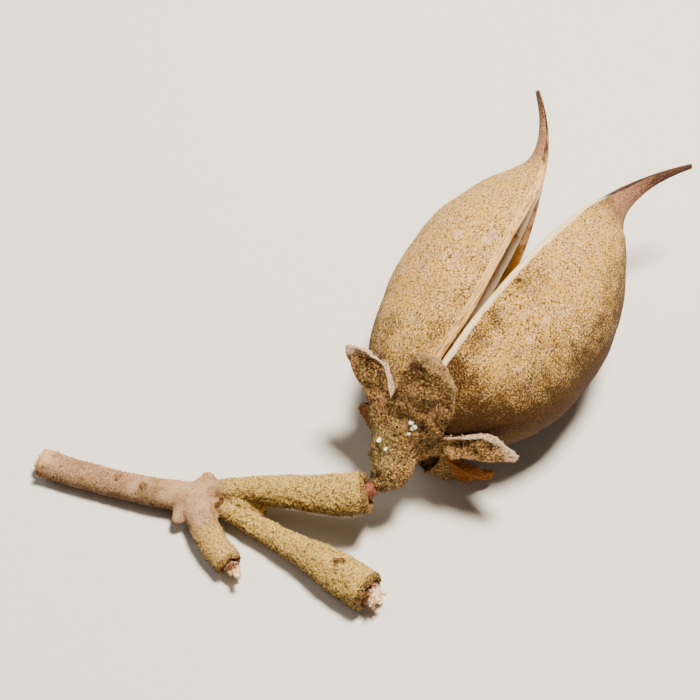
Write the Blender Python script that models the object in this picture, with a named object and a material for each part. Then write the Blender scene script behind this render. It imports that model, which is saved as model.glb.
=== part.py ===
"""Paulownia seed pod, split open and lying on its belly, with its calyx and forked stalk.

The pod's two woody valves part along a seam and end in beaks that curl away from each other.
Each valve is a thin half shell with a partition down its middle. A five-lobed calyx holds them.
A thin neck joins the calyx to one of the three branches of the stalk. The other two branches
and the foot of the stalk are torn off, and pale wood stands out of them.

Lengths in the tables and constants are millimetres. World axes: +Z up, +X to the right and
+Y away from somebody who looks at the open seam. The origin is under the middle, on the surface.
"""

import math

import bmesh
import bpy
from mathutils import Matrix, Vector, noise

MM = 0.001
CLEARANCE = 0.3

# Pod frame: its origin is where the pod sits in the calyx, +Z runs to the beaks, +X to the
# seam that faces up, +Y into the right valve.
POD_SEAT = Vector((6.5, -16.2, 8.79))
POD_YAW = 36.3
POD_RISE = 8.0
SEAM_LEAN = 6.95

# Valves: distance along the pod, depth behind the seam plane, half height of the seam plane.
RIGHT_OUTLINE = (
    (-2.5, 0.8, 0.8),
    (-1.6, 2.2, 2.2),
    (0.0, 3.9, 3.9),
    (4.0, 8.6, 8.2),
    (8.0, 11.8, 9.8),
    (13.0, 13.3, 10.6),
    (18.5, 13.3, 11.2),
    (23.0, 12.5, 10.7),
    (28.5, 10.2, 8.6),
    (32.5, 7.5, 6.4),
    (35.0, 5.4, 4.4),
    (37.0, 4.0, 2.9),
    (39.0, 2.8, 2.1),
    (41.5, 1.9, 1.4),
    (44.5, 1.2, 0.9),
    (49.4, 0.5, 0.45),
)
LEFT_OUTLINE = (
    (-2.5, 0.8, 0.8),
    (-1.6, 2.2, 2.2),
    (0.0, 3.9, 3.9),
    (4.0, 8.1, 7.6),
    (8.5, 10.5, 9.5),
    (13.5, 11.5, 10.9),
    (18.0, 11.7, 11.1),
    (24.0, 11.0, 10.7),
    (29.5, 9.0, 8.4),
    (33.0, 7.2, 6.3),
    (35.5, 4.9, 4.2),
    (38.0, 2.6, 2.4),
    (41.5, 1.3, 1.4),
    (48.3, 0.5, 0.45),
)
HINGE_START = 10.0
HINGE_END = 15.0
VALVE_WALL = 1.0
PARTITION = 0.75
PARTITION_INSET = 0.35
CAVITY_START = (1.0, 5.0)
CAVITY_END = 37.0
CAVITY_FADE = 6.0
SKIN_STEPS = 18
LINING_STEPS = 6
PARTITION_STEPS = 3
STATION_STEP = 1.25


class Valve:
    """Names what differs between the two valves."""

    def __init__(self, name, side, outline, opening, curl_start, curl_turn, curl_power, rim_bevel):
        self.name = name
        self.side = side
        self.outline = outline
        self.opening = opening
        self.curl_start = curl_start
        self.curl_turn = curl_turn
        self.curl_power = curl_power
        self.rim_bevel = rim_bevel


VALVES = (
    Valve("valve_right", 1, RIGHT_OUTLINE, 4.4, 35.0, 35.0, 0.62, 0.7),
    Valve("valve_left", -1, LEFT_OUTLINE, 8.7, 24.0, 43.0, 1.5, 0.85),
)

# Calyx: profile of the cup as (distance along the pod, radius), outside then inside. Its foot
# bends away from the pod's axis by CUP_BEND.
CUP_OUTSIDE = (
    (-7.0, 1.0),
    (-6.8, 1.6),
    (-6.2, 2.0),
    (-5.4, 2.25),
    (-4.5, 2.4),
    (-3.6, 2.6),
    (-2.7, 3.0),
    (-1.8, 3.55),
    (-0.9, 4.3),
    (0.0, 5.15),
)
CUP_INSIDE = ((0.1, 4.5), (-1.0, 3.6), (-2.0, 2.75), (-2.9, 1.7), (-3.1, 0.8))
CUP_BEND = (-1.0, 2.7)
CUP_DEPTH = 7.0
LOBE_ROOT = 4.95
LOBE_GAP = 0.4
LOBE_WALL = 1.0
LOBE_WIDTH = 0.95
NOTCH_RISE = 0.06
LOBE_COLUMNS = 12
LOBE_ROWS = 7
WART_SIZE = 1.7
WART_HEIGHT = 0.25


class Lobe:
    """One lobe: where it stands round the pod, its tip and twist, and its keel, rib and margin."""

    def __init__(self, azimuth, span, twist, flare, tip, bow, keel, rib, hollow, margin):
        self.azimuth = azimuth
        self.span = span
        self.twist = twist
        self.flare = flare
        self.tip = tip
        self.bow = bow
        self.keel = keel
        self.rib = rib
        self.hollow = hollow
        self.margin = margin


LOBES = (
    Lobe(16.0, 92.0, -17.0, 0.06, (10.2, 5.15), 0.65, 0.2, 0.0, 0.35, (4.0, 0.45)),
    Lobe(82.0, 42.0, -5.0, 0.1, (13.2, 3.4), 0.3, 2.6, 0.3, 0.35, (2.2, 0.5)),
    Lobe(138.0, 74.0, -17.0, -0.2, (12.1, 3.2), 0.7, 0.6, 1.7, 0.3, (2.0, 0.6)),
    Lobe(214.0, 86.0, 3.0, 0.0, (10.3, 1.0), 0.3, 0.6, 0.4, 0.3, (2.4, 0.6)),
    Lobe(295.0, 76.0, 3.0, 0.0, (11.5, 2.5), 0.3, 2.8, 0.1, 0.35, (2.4, 0.5)),
)

# Stalk: centre line points with their radii.
STEM_PATH = (
    ((-35.8, -16.95, 1.77), 1.68),
    ((-29.6, -19.0, 1.75), 1.62),
    ((-24.0, -20.6, 1.95), 1.65),
    ((-20.1, -21.4, 2.1), 1.75),
    ((-17.0, -21.9, 2.3), 1.7),
)
BRANCH_HELD_PATH = (
    ((-18.5, -21.4, 2.3), 1.2),
    ((-15.0, -21.2, 2.9), 1.25),
    ((-11.5, -21.5, 3.6), 1.5),
    ((-6.3, -22.6, 4.9), 1.95),
    ((-0.6, -23.7, 6.2), 2.4),
    ((1.7, -23.6, 6.7), 2.4),
)
BRANCH_LONG_PATH = (
    ((-18.6, -21.7, 2.2), 1.2),
    ((-15.2, -22.9, 2.1), 1.15),
    ((-12.6, -24.3, 1.95), 1.2),
    ((-10.0, -25.8, 1.85), 1.3),
    ((-7.3, -27.6, 1.95), 1.5),
    ((-4.8, -29.1, 2.15), 1.8),
    ((-1.7, -31.4, 2.37), 2.3),
    ((1.9, -34.0, 2.48), 2.4),
)
BRANCH_SHORT_PATH = (
    ((-18.4, -21.9, 2.2), 1.5),
    ((-17.1, -24.6, 2.05), 1.75),
    ((-15.8, -27.3, 1.9), 1.7),
    ((-13.8, -30.1, 1.85), 1.7),
)
BUD_PATH = (((-17.2, -21.0, 2.6), 1.5), ((-16.15, -19.75, 3.5), 0.75))
NUB_PATH = (((-19.0, -22.4, 2.1), 1.2), ((-19.9, -24.6, 1.7), 0.7))
SCAR_PATH = (((-13.2, -22.2, 2.7), 1.2), ((-10.2, -23.3, 2.0), 0.9))
TUBE_SIDES = 14
TUBE_STEP = 1.5
BUMP_SIZE = 1.6
BUMP_HEIGHT = 0.12
SOCKET_DEPTH = 1.4
SOCKET_SHARE = 0.68


def smooth_step(share):
    """Eases a share of 0 to 1."""
    share = min(1.0, max(0.0, share))
    return share * share * (3.0 - 2.0 * share)


def along_curve(points, place):
    """Reads a smooth curve through rows of (place, values...) at one place."""
    last = len(points) - 2
    i = max(0, min(last, sum(1 for p in points if p[0] <= place) - 1))
    before, start = points[max(0, i - 1)], points[i]
    end, after = points[i + 1], points[min(last + 1, i + 2)]
    width = end[0] - start[0]
    t = (place - start[0]) / width
    values = []
    for k in range(1, len(start)):
        slope_start = (end[k] - before[k]) / max(1e-6, end[0] - before[0])
        slope_end = (after[k] - start[k]) / max(1e-6, after[0] - start[0])
        values.append(
            (2 * t**3 - 3 * t**2 + 1) * start[k]
            + (t**3 - 2 * t**2 + t) * width * slope_start
            + (3 * t**2 - 2 * t**3) * end[k]
            + (t**3 - t**2) * width * slope_end
        )
    return values


def finish_mesh(name, bm, placing=Matrix()):
    """Turns a closed bmesh in millimetres into an object in metres."""
    bmesh.ops.transform(bm, matrix=Matrix.Scale(MM, 4) @ placing, verts=bm.verts)
    bmesh.ops.recalc_face_normals(bm, faces=bm.faces)
    mesh = bpy.data.meshes.new(name)
    bm.to_mesh(mesh)
    bm.free()
    mesh.shade_smooth()
    obj = bpy.data.objects.new(name, mesh)
    PARTS.objects.link(obj)
    return obj


def loft(rings):
    """Joins rings of equal count into one closed skin with flat ends."""
    bm = bmesh.new()
    rows = [[bm.verts.new(p) for p in ring] for ring in rings]
    count = len(rows[0])
    for low, high in zip(rows, rows[1:]):
        for i in range(count):
            j = (i + 1) % count
            bm.faces.new((low[i], low[j], high[j], high[i]))
    bm.faces.new(rows[0][::-1])
    bm.faces.new(rows[-1])
    return bm


def valve_section(depth, height, bevel, cavity):
    """Closed ring of (x, y) points: skin, slanting rims, lining and the partition between them."""
    wall = min(VALVE_WALL, 0.35 * height, 0.35 * depth)
    slant = min(bevel, 0.3 * depth)
    reach = math.acos(slant / depth)
    skin = []
    for i in range(SKIN_STEPS + 1):
        angle = reach * (1 - 2 * i / SKIN_STEPS)
        skin.append((height * math.sin(angle), depth * math.cos(angle)))
    inner_height, inner_depth = height - wall, depth - wall
    half_partition = min(PARTITION / 2, 0.3 * inner_height)
    root = math.asin(half_partition / inner_height)
    half = []
    for i in range(LINING_STEPS + 1):
        angle = math.pi / 2 + (root - math.pi / 2) * i / LINING_STEPS
        half.append((inner_height * math.sin(angle), inner_depth * math.cos(angle)))
    root_depth = half[-1][1]
    inset = min(PARTITION_INSET, 0.5 * root_depth)
    for i in range(1, PARTITION_STEPS + 1):
        share = i / PARTITION_STEPS
        half.append((half_partition * (1 - 0.25 * share), root_depth + (inset - root_depth) * share))
    full = [(-x, y) for x, y in half] + half[::-1]
    lining = []
    for i, (x, y) in enumerate(full):
        flat_x = inner_height * (2 * i / (len(full) - 1) - 1)
        lining.append((flat_x + (x - flat_x) * cavity, y * cavity))
    return skin + lining


def valve_spine(valve):
    """Stations of (distance, position, heading) in the pod frame."""
    start, end = valve.outline[0][0], valve.outline[-1][0]
    steps = math.ceil((end - start) / STATION_STEP)
    place = Vector((0.0, valve.side * CLEARANCE / 2, start))
    stations = []
    before, heading_before = start, 0.0
    for i in range(steps + 1):
        distance = start + (end - start) * i / steps
        opening = math.radians(valve.opening) * smooth_step(
            (distance - HINGE_START) / (HINGE_END - HINGE_START)
        )
        share = max(0.0, distance - valve.curl_start) / (end - valve.curl_start)
        heading = valve.side * (opening + math.radians(valve.curl_turn) * share**valve.curl_power)
        between = (heading + heading_before) / 2
        place = place + Vector((0.0, math.sin(between), math.cos(between))) * (distance - before)
        before, heading_before = distance, heading
        stations.append((distance, place, heading))
    return stations


def make_valve(valve):
    """Half of the pod: shell, partition and its half of the beak."""
    rings = []
    for distance, place, heading in valve_spine(valve):
        depth, height = along_curve(valve.outline, distance)
        cavity = smooth_step((distance - CAVITY_START[0]) / (CAVITY_START[1] - CAVITY_START[0]))
        cavity *= smooth_step((CAVITY_END - distance) / CAVITY_FADE)
        across = Vector((0.0, math.cos(heading), -math.sin(heading))) * valve.side
        ring = []
        for x, y in valve_section(depth, height, valve.rim_bevel, cavity):
            ring.append(place + Vector((x, 0.0, 0.0)) + across * y)
        rings.append(ring)
    return finish_mesh(valve.name, loft(rings), pod_placing())


def cup_ring(height, radius, warts):
    """Ring of the cup, square to its bent axis, with a low rib under every lobe."""
    drop = min(0.0, height) / -CUP_DEPTH
    centre = Vector((CUP_BEND[0] * drop**2, CUP_BEND[1] * drop**2, height))
    slope = -2 * drop / CUP_DEPTH
    heading = Vector((CUP_BEND[0] * slope, CUP_BEND[1] * slope, 1.0))
    turn = Vector((0.0, 0.0, 1.0)).rotation_difference(heading)
    ring = []
    for lobe, share in lobe_columns():
        angle = math.radians(lobe.azimuth + LOBE_WIDTH * lobe.span / 2 * share)
        ray = turn @ Vector((math.cos(angle), math.sin(angle), 0.0))
        rib = lobe.rib * (1 - abs(share)) * smooth_step(1 - drop)
        point = centre + ray * radius
        rough = WART_HEIGHT * noise.noise(point / WART_SIZE)
        ring.append(point + ray * (rib + rough) * warts)
    return ring


def lobe_columns():
    """Every (lobe, share of its half width) round the calyx, in order."""
    shares = [2 * k / (LOBE_COLUMNS - 1) - 1 for k in range(LOBE_COLUMNS)]
    return [(lobe, share) for lobe in LOBES for share in shares]


def lobe_midline(lobe, rise):
    """Point and outward normal, as (radius, height), part of the way to a lobe's tip."""
    reach = Vector((lobe.tip[0] - LOBE_ROOT, lobe.tip[1]))
    outward = Vector((reach.y, -reach.x)).normalized()
    bow = lobe.bow * math.sin(math.pi * rise)
    return Vector((LOBE_ROOT, 0.0)) + reach * rise + outward * bow, outward


def pod_radius(angle, height):
    """Radius of the closed pod at an angle from the seam and a height near its foot."""
    valve = VALVES[0] if math.sin(angle) > 0 else VALVES[1]
    depth, half_height = along_curve(valve.outline, height)
    depth += CLEARANCE / 2
    return 1 / math.hypot(math.cos(angle) / half_height, math.sin(angle) / depth)


def lobe_point(lobe, share, level, layer):
    """A point of a lobe. Level runs from notch to margin; layer is 1 outside, -1 inside."""
    power, root = lobe.margin
    margin = max(0.0, 1 - abs(share) ** power) ** root
    rise = level * (NOTCH_RISE + (1 - NOTCH_RISE) * margin)
    point, outward = lobe_midline(lobe, rise)
    swell = max(0.0, 4 * rise * (1 - rise)) ** 0.6
    fold = lobe.keel * (0.1 - abs(share)) * swell + lobe.rib * (1 - abs(share)) * (1 - rise)
    hollow = lobe.hollow * math.sin(math.pi * abs(share)) * math.sin(math.pi * level)
    offset = fold + layer * LOBE_WALL / 2
    if layer > 0:
        offset -= hollow
    radius, height = point + outward * offset
    half_width = math.radians(lobe.span / 2) * LOBE_ROOT * LOBE_WIDTH * (1 + lobe.flare * rise)
    angle = math.radians(lobe.azimuth + lobe.twist * rise) + share * half_width / point.x
    least = pod_radius(angle, height) + LOBE_GAP + LOBE_WALL * 0.4 * (1 + layer)
    radius = max(radius, least)
    return Vector((radius * math.cos(angle), radius * math.sin(angle), height))


def make_calyx():
    """Cup with five thick lobes, one closed body."""
    rings = [cup_ring(height, radius, 1.0) for height, radius in CUP_OUTSIDE[:-1]]
    levels = [0.05 + 0.87 * row / LOBE_ROWS for row in range(LOBE_ROWS + 1)]
    passes = [(level, 1) for level in levels] + [(1.0, 0)] + [(level, -1) for level in levels[::-1]]
    for level, layer in passes:
        rings.append([lobe_point(lobe, share, level, layer) for lobe, share in lobe_columns()])
    rings += [cup_ring(height, radius, 0.0) for height, radius in CUP_INSIDE]
    return finish_mesh("calyx", loft(rings), pod_placing())


def path_frames(path, step):
    """Stations of (point, heading, radius) along a smooth curve through a path."""
    rows = []
    travelled = 0.0
    for i, (point, radius) in enumerate(path):
        if i:
            travelled += (Vector(point) - Vector(path[i - 1][0])).length
        rows.append((travelled, *point, radius))
    steps = max(3, math.ceil(travelled / step))
    stations = [along_curve(rows, travelled * i / steps) for i in range(steps + 1)]
    points = [Vector(s[:3]) for s in stations]
    frames = []
    for i, point in enumerate(points):
        ahead = points[min(i + 1, steps)] - points[max(i - 1, 0)]
        frames.append((point, ahead.normalized(), stations[i][3]))
    return frames


def ring_round(centre, heading, radius, sides, bump):
    """Ring of points square to a heading, with its radius roughened by noise."""
    side = heading.cross(Vector((0.0, 0.0, 1.0))).normalized()
    up = side.cross(heading)
    ring = []
    for i in range(sides):
        angle = 2 * math.pi * i / sides
        ray = side * math.cos(angle) + up * math.sin(angle)
        rough = noise.noise((centre + ray * radius) / BUMP_SIZE) * bump
        ring.append(centre + ray * (radius + rough))
    return ring


def tube(path, socket=False, step=TUBE_STEP):
    """A rough tapered branch. With a socket, its far end is hollowed out like a torn stem."""
    frames = path_frames(path, step)
    rings = [ring_round(p, h, r, TUBE_SIDES, BUMP_HEIGHT) for p, h, r in frames]
    point, heading, radius = frames[0]
    rings.insert(0, ring_round(point - heading * radius * 0.5, heading, radius * 0.6, TUBE_SIDES, 0))
    point, heading, radius = frames[-1]
    if socket:
        inner = radius * SOCKET_SHARE
        rings.append(ring_round(point + heading * 0.35, heading, radius * 0.86, TUBE_SIDES, 0.2))
        rings.append(ring_round(point, heading, inner, TUBE_SIDES, 0))
        rings.append(ring_round(point - heading * SOCKET_DEPTH, heading, inner, TUBE_SIDES, 0))
    else:
        rings.append(ring_round(point + heading * radius * 0.5, heading, radius * 0.6, TUBE_SIDES, 0))
    return loft(rings)


def join_all(name, pieces):
    """Unites closed pieces into one solid object."""
    collection = bpy.data.collections.new(name + "_pieces")
    bpy.context.scene.collection.children.link(collection)
    objects = []
    for i, bm in enumerate(pieces):
        obj = finish_mesh(f"{name}_piece_{i}", bm)
        PARTS.objects.unlink(obj)
        objects.append(obj)
    base = objects[0]
    for obj in objects[1:]:
        collection.objects.link(obj)
    PARTS.objects.link(base)
    union = base.modifiers.new("union", "BOOLEAN")
    union.operation = "UNION"
    union.operand_type = "COLLECTION"
    union.collection = collection
    bpy.context.view_layer.update()
    graph = bpy.context.evaluated_depsgraph_get()
    mesh = bpy.data.meshes.new_from_object(base.evaluated_get(graph))
    mesh.name = name
    joined = bpy.data.objects.new(name, mesh)
    PARTS.objects.link(joined)
    for obj in objects:
        bpy.data.objects.remove(obj)
    bpy.data.collections.remove(collection)
    return joined


def end_of(path):
    """Point, heading and radius at the far end of a path."""
    return path_frames(path, TUBE_STEP)[-1]


def make_stalk():
    """Stem, three branches, a bud and two scars, all grown together."""
    reversed_stem = STEM_PATH[::-1]
    pieces = [
        tube(reversed_stem, socket=True),
        tube(BRANCH_HELD_PATH, socket=True),
        tube(BRANCH_LONG_PATH, socket=True),
        tube(BRANCH_SHORT_PATH, socket=True),
        tube(BUD_PATH),
        tube(NUB_PATH),
        tube(SCAR_PATH),
    ]
    return join_all("stalk", pieces)


# Torn wood: path it stands in, length past the end, lean and seed of its jagged top.
CORES = (
    ("wood_core_stem", STEM_PATH[::-1], 0.5, 3),
    ("wood_core_short", BRANCH_SHORT_PATH, 1.5, 5),
    ("wood_core_long", BRANCH_LONG_PATH, 1.5, 8),
)
CORE_SIDES = 9
JAG = 0.55


def make_core(name, path, proud, seed):
    """Splintered pale wood standing in a socket."""
    point, heading, radius = end_of(path)
    inner = radius * SOCKET_SHARE - CLEARANCE
    floor = -SOCKET_DEPTH + CLEARANCE
    levels = ((floor, 1.0), (0.0, 1.0), (proud * 0.6, 0.92), (proud, 0.6))
    rings = []
    for level, share in levels:
        ring = ring_round(point + heading * level, heading, inner * share, CORE_SIDES, 0)
        if level > 0:
            jag = JAG * level / proud
            ring = [
                p + heading * jag * noise.noise(Vector((i * 1.7, seed, level)))
                for i, p in enumerate(ring)
            ]
        rings.append(ring)
    return finish_mesh(name, loft(rings))


# Neck: its path from inside the socket of the held branch to the side of the calyx's foot.
NECK_PATH = (((0.8, -23.7, 6.55), 1.1), ((1.8, -23.5, 6.75), 1.0), ((2.8, -23.15, 6.95), 0.8))
NECK_SIDES = 12


def make_neck():
    """Bare tissue between the held branch and the foot of the calyx."""
    rings = []
    for point, heading, radius in path_frames(NECK_PATH, 0.6):
        rings.append(ring_round(point, heading, radius, NECK_SIDES, 0))
    return finish_mesh("neck", loft(rings))


def pod_placing():
    """Places the pod frame: yaw from +Y, rise of the beaks and lean of the seam."""
    yaw, rise, lean = (math.radians(v) for v in (POD_YAW, POD_RISE, SEAM_LEAN))
    axis = Vector((math.sin(yaw) * math.cos(rise), math.cos(yaw) * math.cos(rise), math.sin(rise)))
    right = axis.cross(Vector((0, 0, 1))).normalized()
    up = right.cross(axis)
    seam = up * math.cos(lean) + right * math.sin(lean)
    into_right = right * math.cos(lean) - up * math.sin(lean)
    turn = Matrix((seam, into_right, axis)).transposed().to_4x4()
    return Matrix.Translation(POD_SEAT) @ turn


# Flat colours that tell the parts apart: name, red, green, blue, roughness.
FINISHES = (
    ("valve_right", 0.45, 0.30, 0.15, 0.85),
    ("valve_left", 0.50, 0.34, 0.18, 0.85),
    ("calyx", 0.40, 0.27, 0.13, 0.9),
    ("stalk", 0.52, 0.38, 0.19, 0.9),
    ("neck", 0.38, 0.16, 0.11, 0.7),
    ("wood_core_stem", 0.80, 0.70, 0.58, 0.7),
    ("wood_core_short", 0.80, 0.70, 0.58, 0.7),
    ("wood_core_long", 0.80, 0.70, 0.58, 0.7),
)


def add_finish(name, red, green, blue, roughness):
    """Gives a part its own plain material."""
    material = bpy.data.materials.new(name)
    material.use_nodes = True
    shader = material.node_tree.nodes["Principled BSDF"]
    shader.inputs["Base Color"].default_value = (red, green, blue, 1.0)
    shader.inputs["Roughness"].default_value = roughness
    bpy.data.objects[name].data.materials.append(material)


def centre_parts():
    """Moves all parts so that the origin is under the middle of the whole."""
    points = [v.co for obj in PARTS.objects for v in obj.data.vertices]
    low = Vector([min(p[k] for p in points) for k in range(3)])
    high = Vector([max(p[k] for p in points) for k in range(3)])
    middle = Vector(((low.x + high.x) / 2, (low.y + high.y) / 2, low.z))
    for obj in PARTS.objects:
        obj.data.transform(Matrix.Translation(-middle))


def clear_scene():
    """Removes whatever the scene holds."""
    for obj in list(bpy.data.objects):
        bpy.data.objects.remove(obj)


clear_scene()
PARTS = bpy.data.collections.new("paulownia_seed_pod")
bpy.context.scene.collection.children.link(PARTS)
for each_valve in VALVES:
    make_valve(each_valve)
make_calyx()
make_stalk()
make_neck()
for core in CORES:
    make_core(*core)
for finish in FINISHES:
    add_finish(*finish)
centre_parts()
bpy.context.view_layer.update()
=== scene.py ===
"""Looks of a dried paulownia seed pod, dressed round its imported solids.

The capsule's two valves, the calyx, the forked stalk, the neck and the torn wood are each built
again as a fine mesh of the same form, and then given relief, grains and a material.

Lengths in tables and dataclass fields are millimetres, in the drawing frame: +Z up, +X to the
right, +Y away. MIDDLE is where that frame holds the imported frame's origin.
"""

import logging
import math
from dataclasses import dataclass
from enum import Enum
from typing import Any, Callable, Sequence

import bpy
import numpy as np
from mathutils import Matrix, Vector, noise
from mathutils.bvhtree import BVHTree


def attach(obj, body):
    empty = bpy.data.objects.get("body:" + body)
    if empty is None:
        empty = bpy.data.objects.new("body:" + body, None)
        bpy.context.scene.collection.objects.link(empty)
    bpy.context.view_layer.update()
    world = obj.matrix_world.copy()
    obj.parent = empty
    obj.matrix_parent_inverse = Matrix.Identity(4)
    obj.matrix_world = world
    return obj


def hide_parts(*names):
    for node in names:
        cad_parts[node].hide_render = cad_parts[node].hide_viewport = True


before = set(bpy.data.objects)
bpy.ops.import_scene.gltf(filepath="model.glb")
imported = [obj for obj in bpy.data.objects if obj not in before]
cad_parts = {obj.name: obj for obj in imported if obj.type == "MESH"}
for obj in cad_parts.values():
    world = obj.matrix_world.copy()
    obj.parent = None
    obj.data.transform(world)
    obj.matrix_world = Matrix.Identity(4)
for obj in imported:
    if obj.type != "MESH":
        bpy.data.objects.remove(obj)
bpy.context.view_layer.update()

log = logging.getLogger("seed_pod")

MM = 0.001
MIDDLE = Vector((2.295, -4.478, 0.015))
IMAGE_SIDE = 700
CLEARANCE = 0.3

# Camera: distance from the drawing frame's origin and elevation, both fitted to the photograph.
CAMERA_DISTANCE = 275.0
CAMERA_ELEVATION = 57.0
CAMERA_LENS = 116.27
CAMERA_SENSOR = 36.0

# Pod frame: its origin is where the pod sits in the calyx, +Z runs to the beaks, +X to the
# seam that faces up, +Y into the right valve.
POD_SEAT = Vector((6.5, -16.2, 8.79))
POD_YAW = 36.3
POD_RISE = 8.0
SEAM_LEAN = 6.95

# Direction of the light that the painted shade follows: what faces away from it is painted darker.
LIGHT_FOR_PAINTED_SHADE = (0.02, 0.33, 0.94)

Row = Sequence[float]
Path = Sequence[tuple[tuple[float, float, float], float]]
Marks = Sequence[tuple[tuple[float, float, float], float, float]]
RingPoint = tuple[float, float, "Coat", float]


def smooth_step(share: float) -> float:
    """Eases a share of 0 to 1."""
    share = min(1.0, max(0.0, share))
    return share * share * (3.0 - 2.0 * share)


def ramp(value: float, start: float, end: float) -> float:
    """Eased 0 to 1 while a value goes from start to end."""
    return smooth_step((value - start) / (end - start))


def ramp_array(values: np.ndarray, start: float, end: float) -> np.ndarray:
    """Eased 0 to 1 for each of many values while it goes from start to end."""
    share = np.clip((values - start) / (end - start), 0.0, 1.0)
    return share * share * (3.0 - 2.0 * share)


def along_curve(points: Sequence[Row], place: float) -> list[float]:
    """Reads a smooth curve through rows of (place, values...).

    Args:
        points: rows in order of place.
        place: where to read the curve.

    Returns:
        The values at that place.
    """
    last = len(points) - 2
    i = max(0, min(last, sum(1 for p in points if p[0] <= place) - 1))
    before, start = points[max(0, i - 1)], points[i]
    end, after = points[i + 1], points[min(last + 1, i + 2)]
    width = end[0] - start[0]
    t = (place - start[0]) / width
    values = []
    for k in range(1, len(start)):
        slope_start = (end[k] - before[k]) / max(1e-6, end[0] - before[0])
        slope_end = (after[k] - start[k]) / max(1e-6, after[0] - start[0])
        values.append(
            (2 * t**3 - 3 * t**2 + 1) * start[k]
            + (t**3 - 2 * t**2 + t) * width * slope_start
            + (3 * t**2 - 2 * t**3) * end[k]
            + (t**3 - t**2) * width * slope_end
        )
    return values


def pod_placing() -> Matrix:
    """Matrix from the pod frame to the drawing frame."""
    yaw, rise, lean = (math.radians(v) for v in (POD_YAW, POD_RISE, SEAM_LEAN))
    axis = Vector((math.sin(yaw) * math.cos(rise), math.cos(yaw) * math.cos(rise), math.sin(rise)))
    right = axis.cross(Vector((0, 0, 1))).normalized()
    up = right.cross(axis)
    seam = up * math.cos(lean) + right * math.sin(lean)
    into_right = right * math.cos(lean) - up * math.sin(lean)
    turn = Matrix((seam, into_right, axis)).transposed().to_4x4()
    return Matrix.Translation(POD_SEAT) @ turn


def linear(hex_colour: str) -> tuple[float, float, float, float]:
    """Turns an sRGB hex colour into linear red, green, blue and alpha."""
    parts = [int(hex_colour[i : i + 2], 16) / 255 for i in (1, 3, 5)]
    red, green, blue = (c / 12.92 if c <= 0.04045 else ((c + 0.055) / 1.055) ** 2.4 for c in parts)
    return red, green, blue, 1.0


def add_node(
    tree: bpy.types.NodeTree, kind: str, inputs: dict[Any, Any] | None = None, **settings: Any
) -> bpy.types.Node:
    """Adds one node with its settings and links.

    Args:
        tree: the tree that it goes in.
        kind: Blender's name for the kind of node.
        inputs: socket name or index to a value, or to the output socket that feeds it.
        **settings: properties of the node. Stops are a colour ramp's (place, hex colour) pairs.

    Returns:
        The new node.
    """
    node = tree.nodes.new(kind)
    stops = settings.pop("stops", ())
    for name, value in settings.items():
        setattr(node, name, value)
    for i, (place, colour) in enumerate(stops):
        stop = node.color_ramp.elements[i] if i < 2 else node.color_ramp.elements.new(place)
        stop.position = place
        stop.color = linear(colour)
    for key, value in (inputs or {}).items():
        if isinstance(value, bpy.types.NodeSocket):
            tree.links.new(value, node.inputs[key])
        else:
            node.inputs[key].default_value = value
    return node


def per_mm(size: float) -> float:
    """Scale of a texture on Object coordinates whose features are size millimetres wide."""
    return 1.0 / (size * MM)


# How rough every noise is, how much sooner a tint takes the pits than the crests and the values
# between which it fades in, and the noise values between which the patches fade in.
NOISE_ROUGHNESS = {"Roughness": 0.62}
TINT_SINK = 1.6
TINT_FADE = (0.2, 0.9)
PATCH_FADE = (0.45, 0.62)


class Coat(Enum):
    """Which of a piece's surfaces a face belongs to. The value is its material index."""

    SKIN = 0
    RIM = 1
    LINING = 2


@dataclass(frozen=True)
class Speck:
    """One layer of spots: sRGB hex colour, size in mm, noise values of its fade, and strength."""

    colour: str
    size: float
    fade: tuple[float, float]
    amount: float = 1.0


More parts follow.
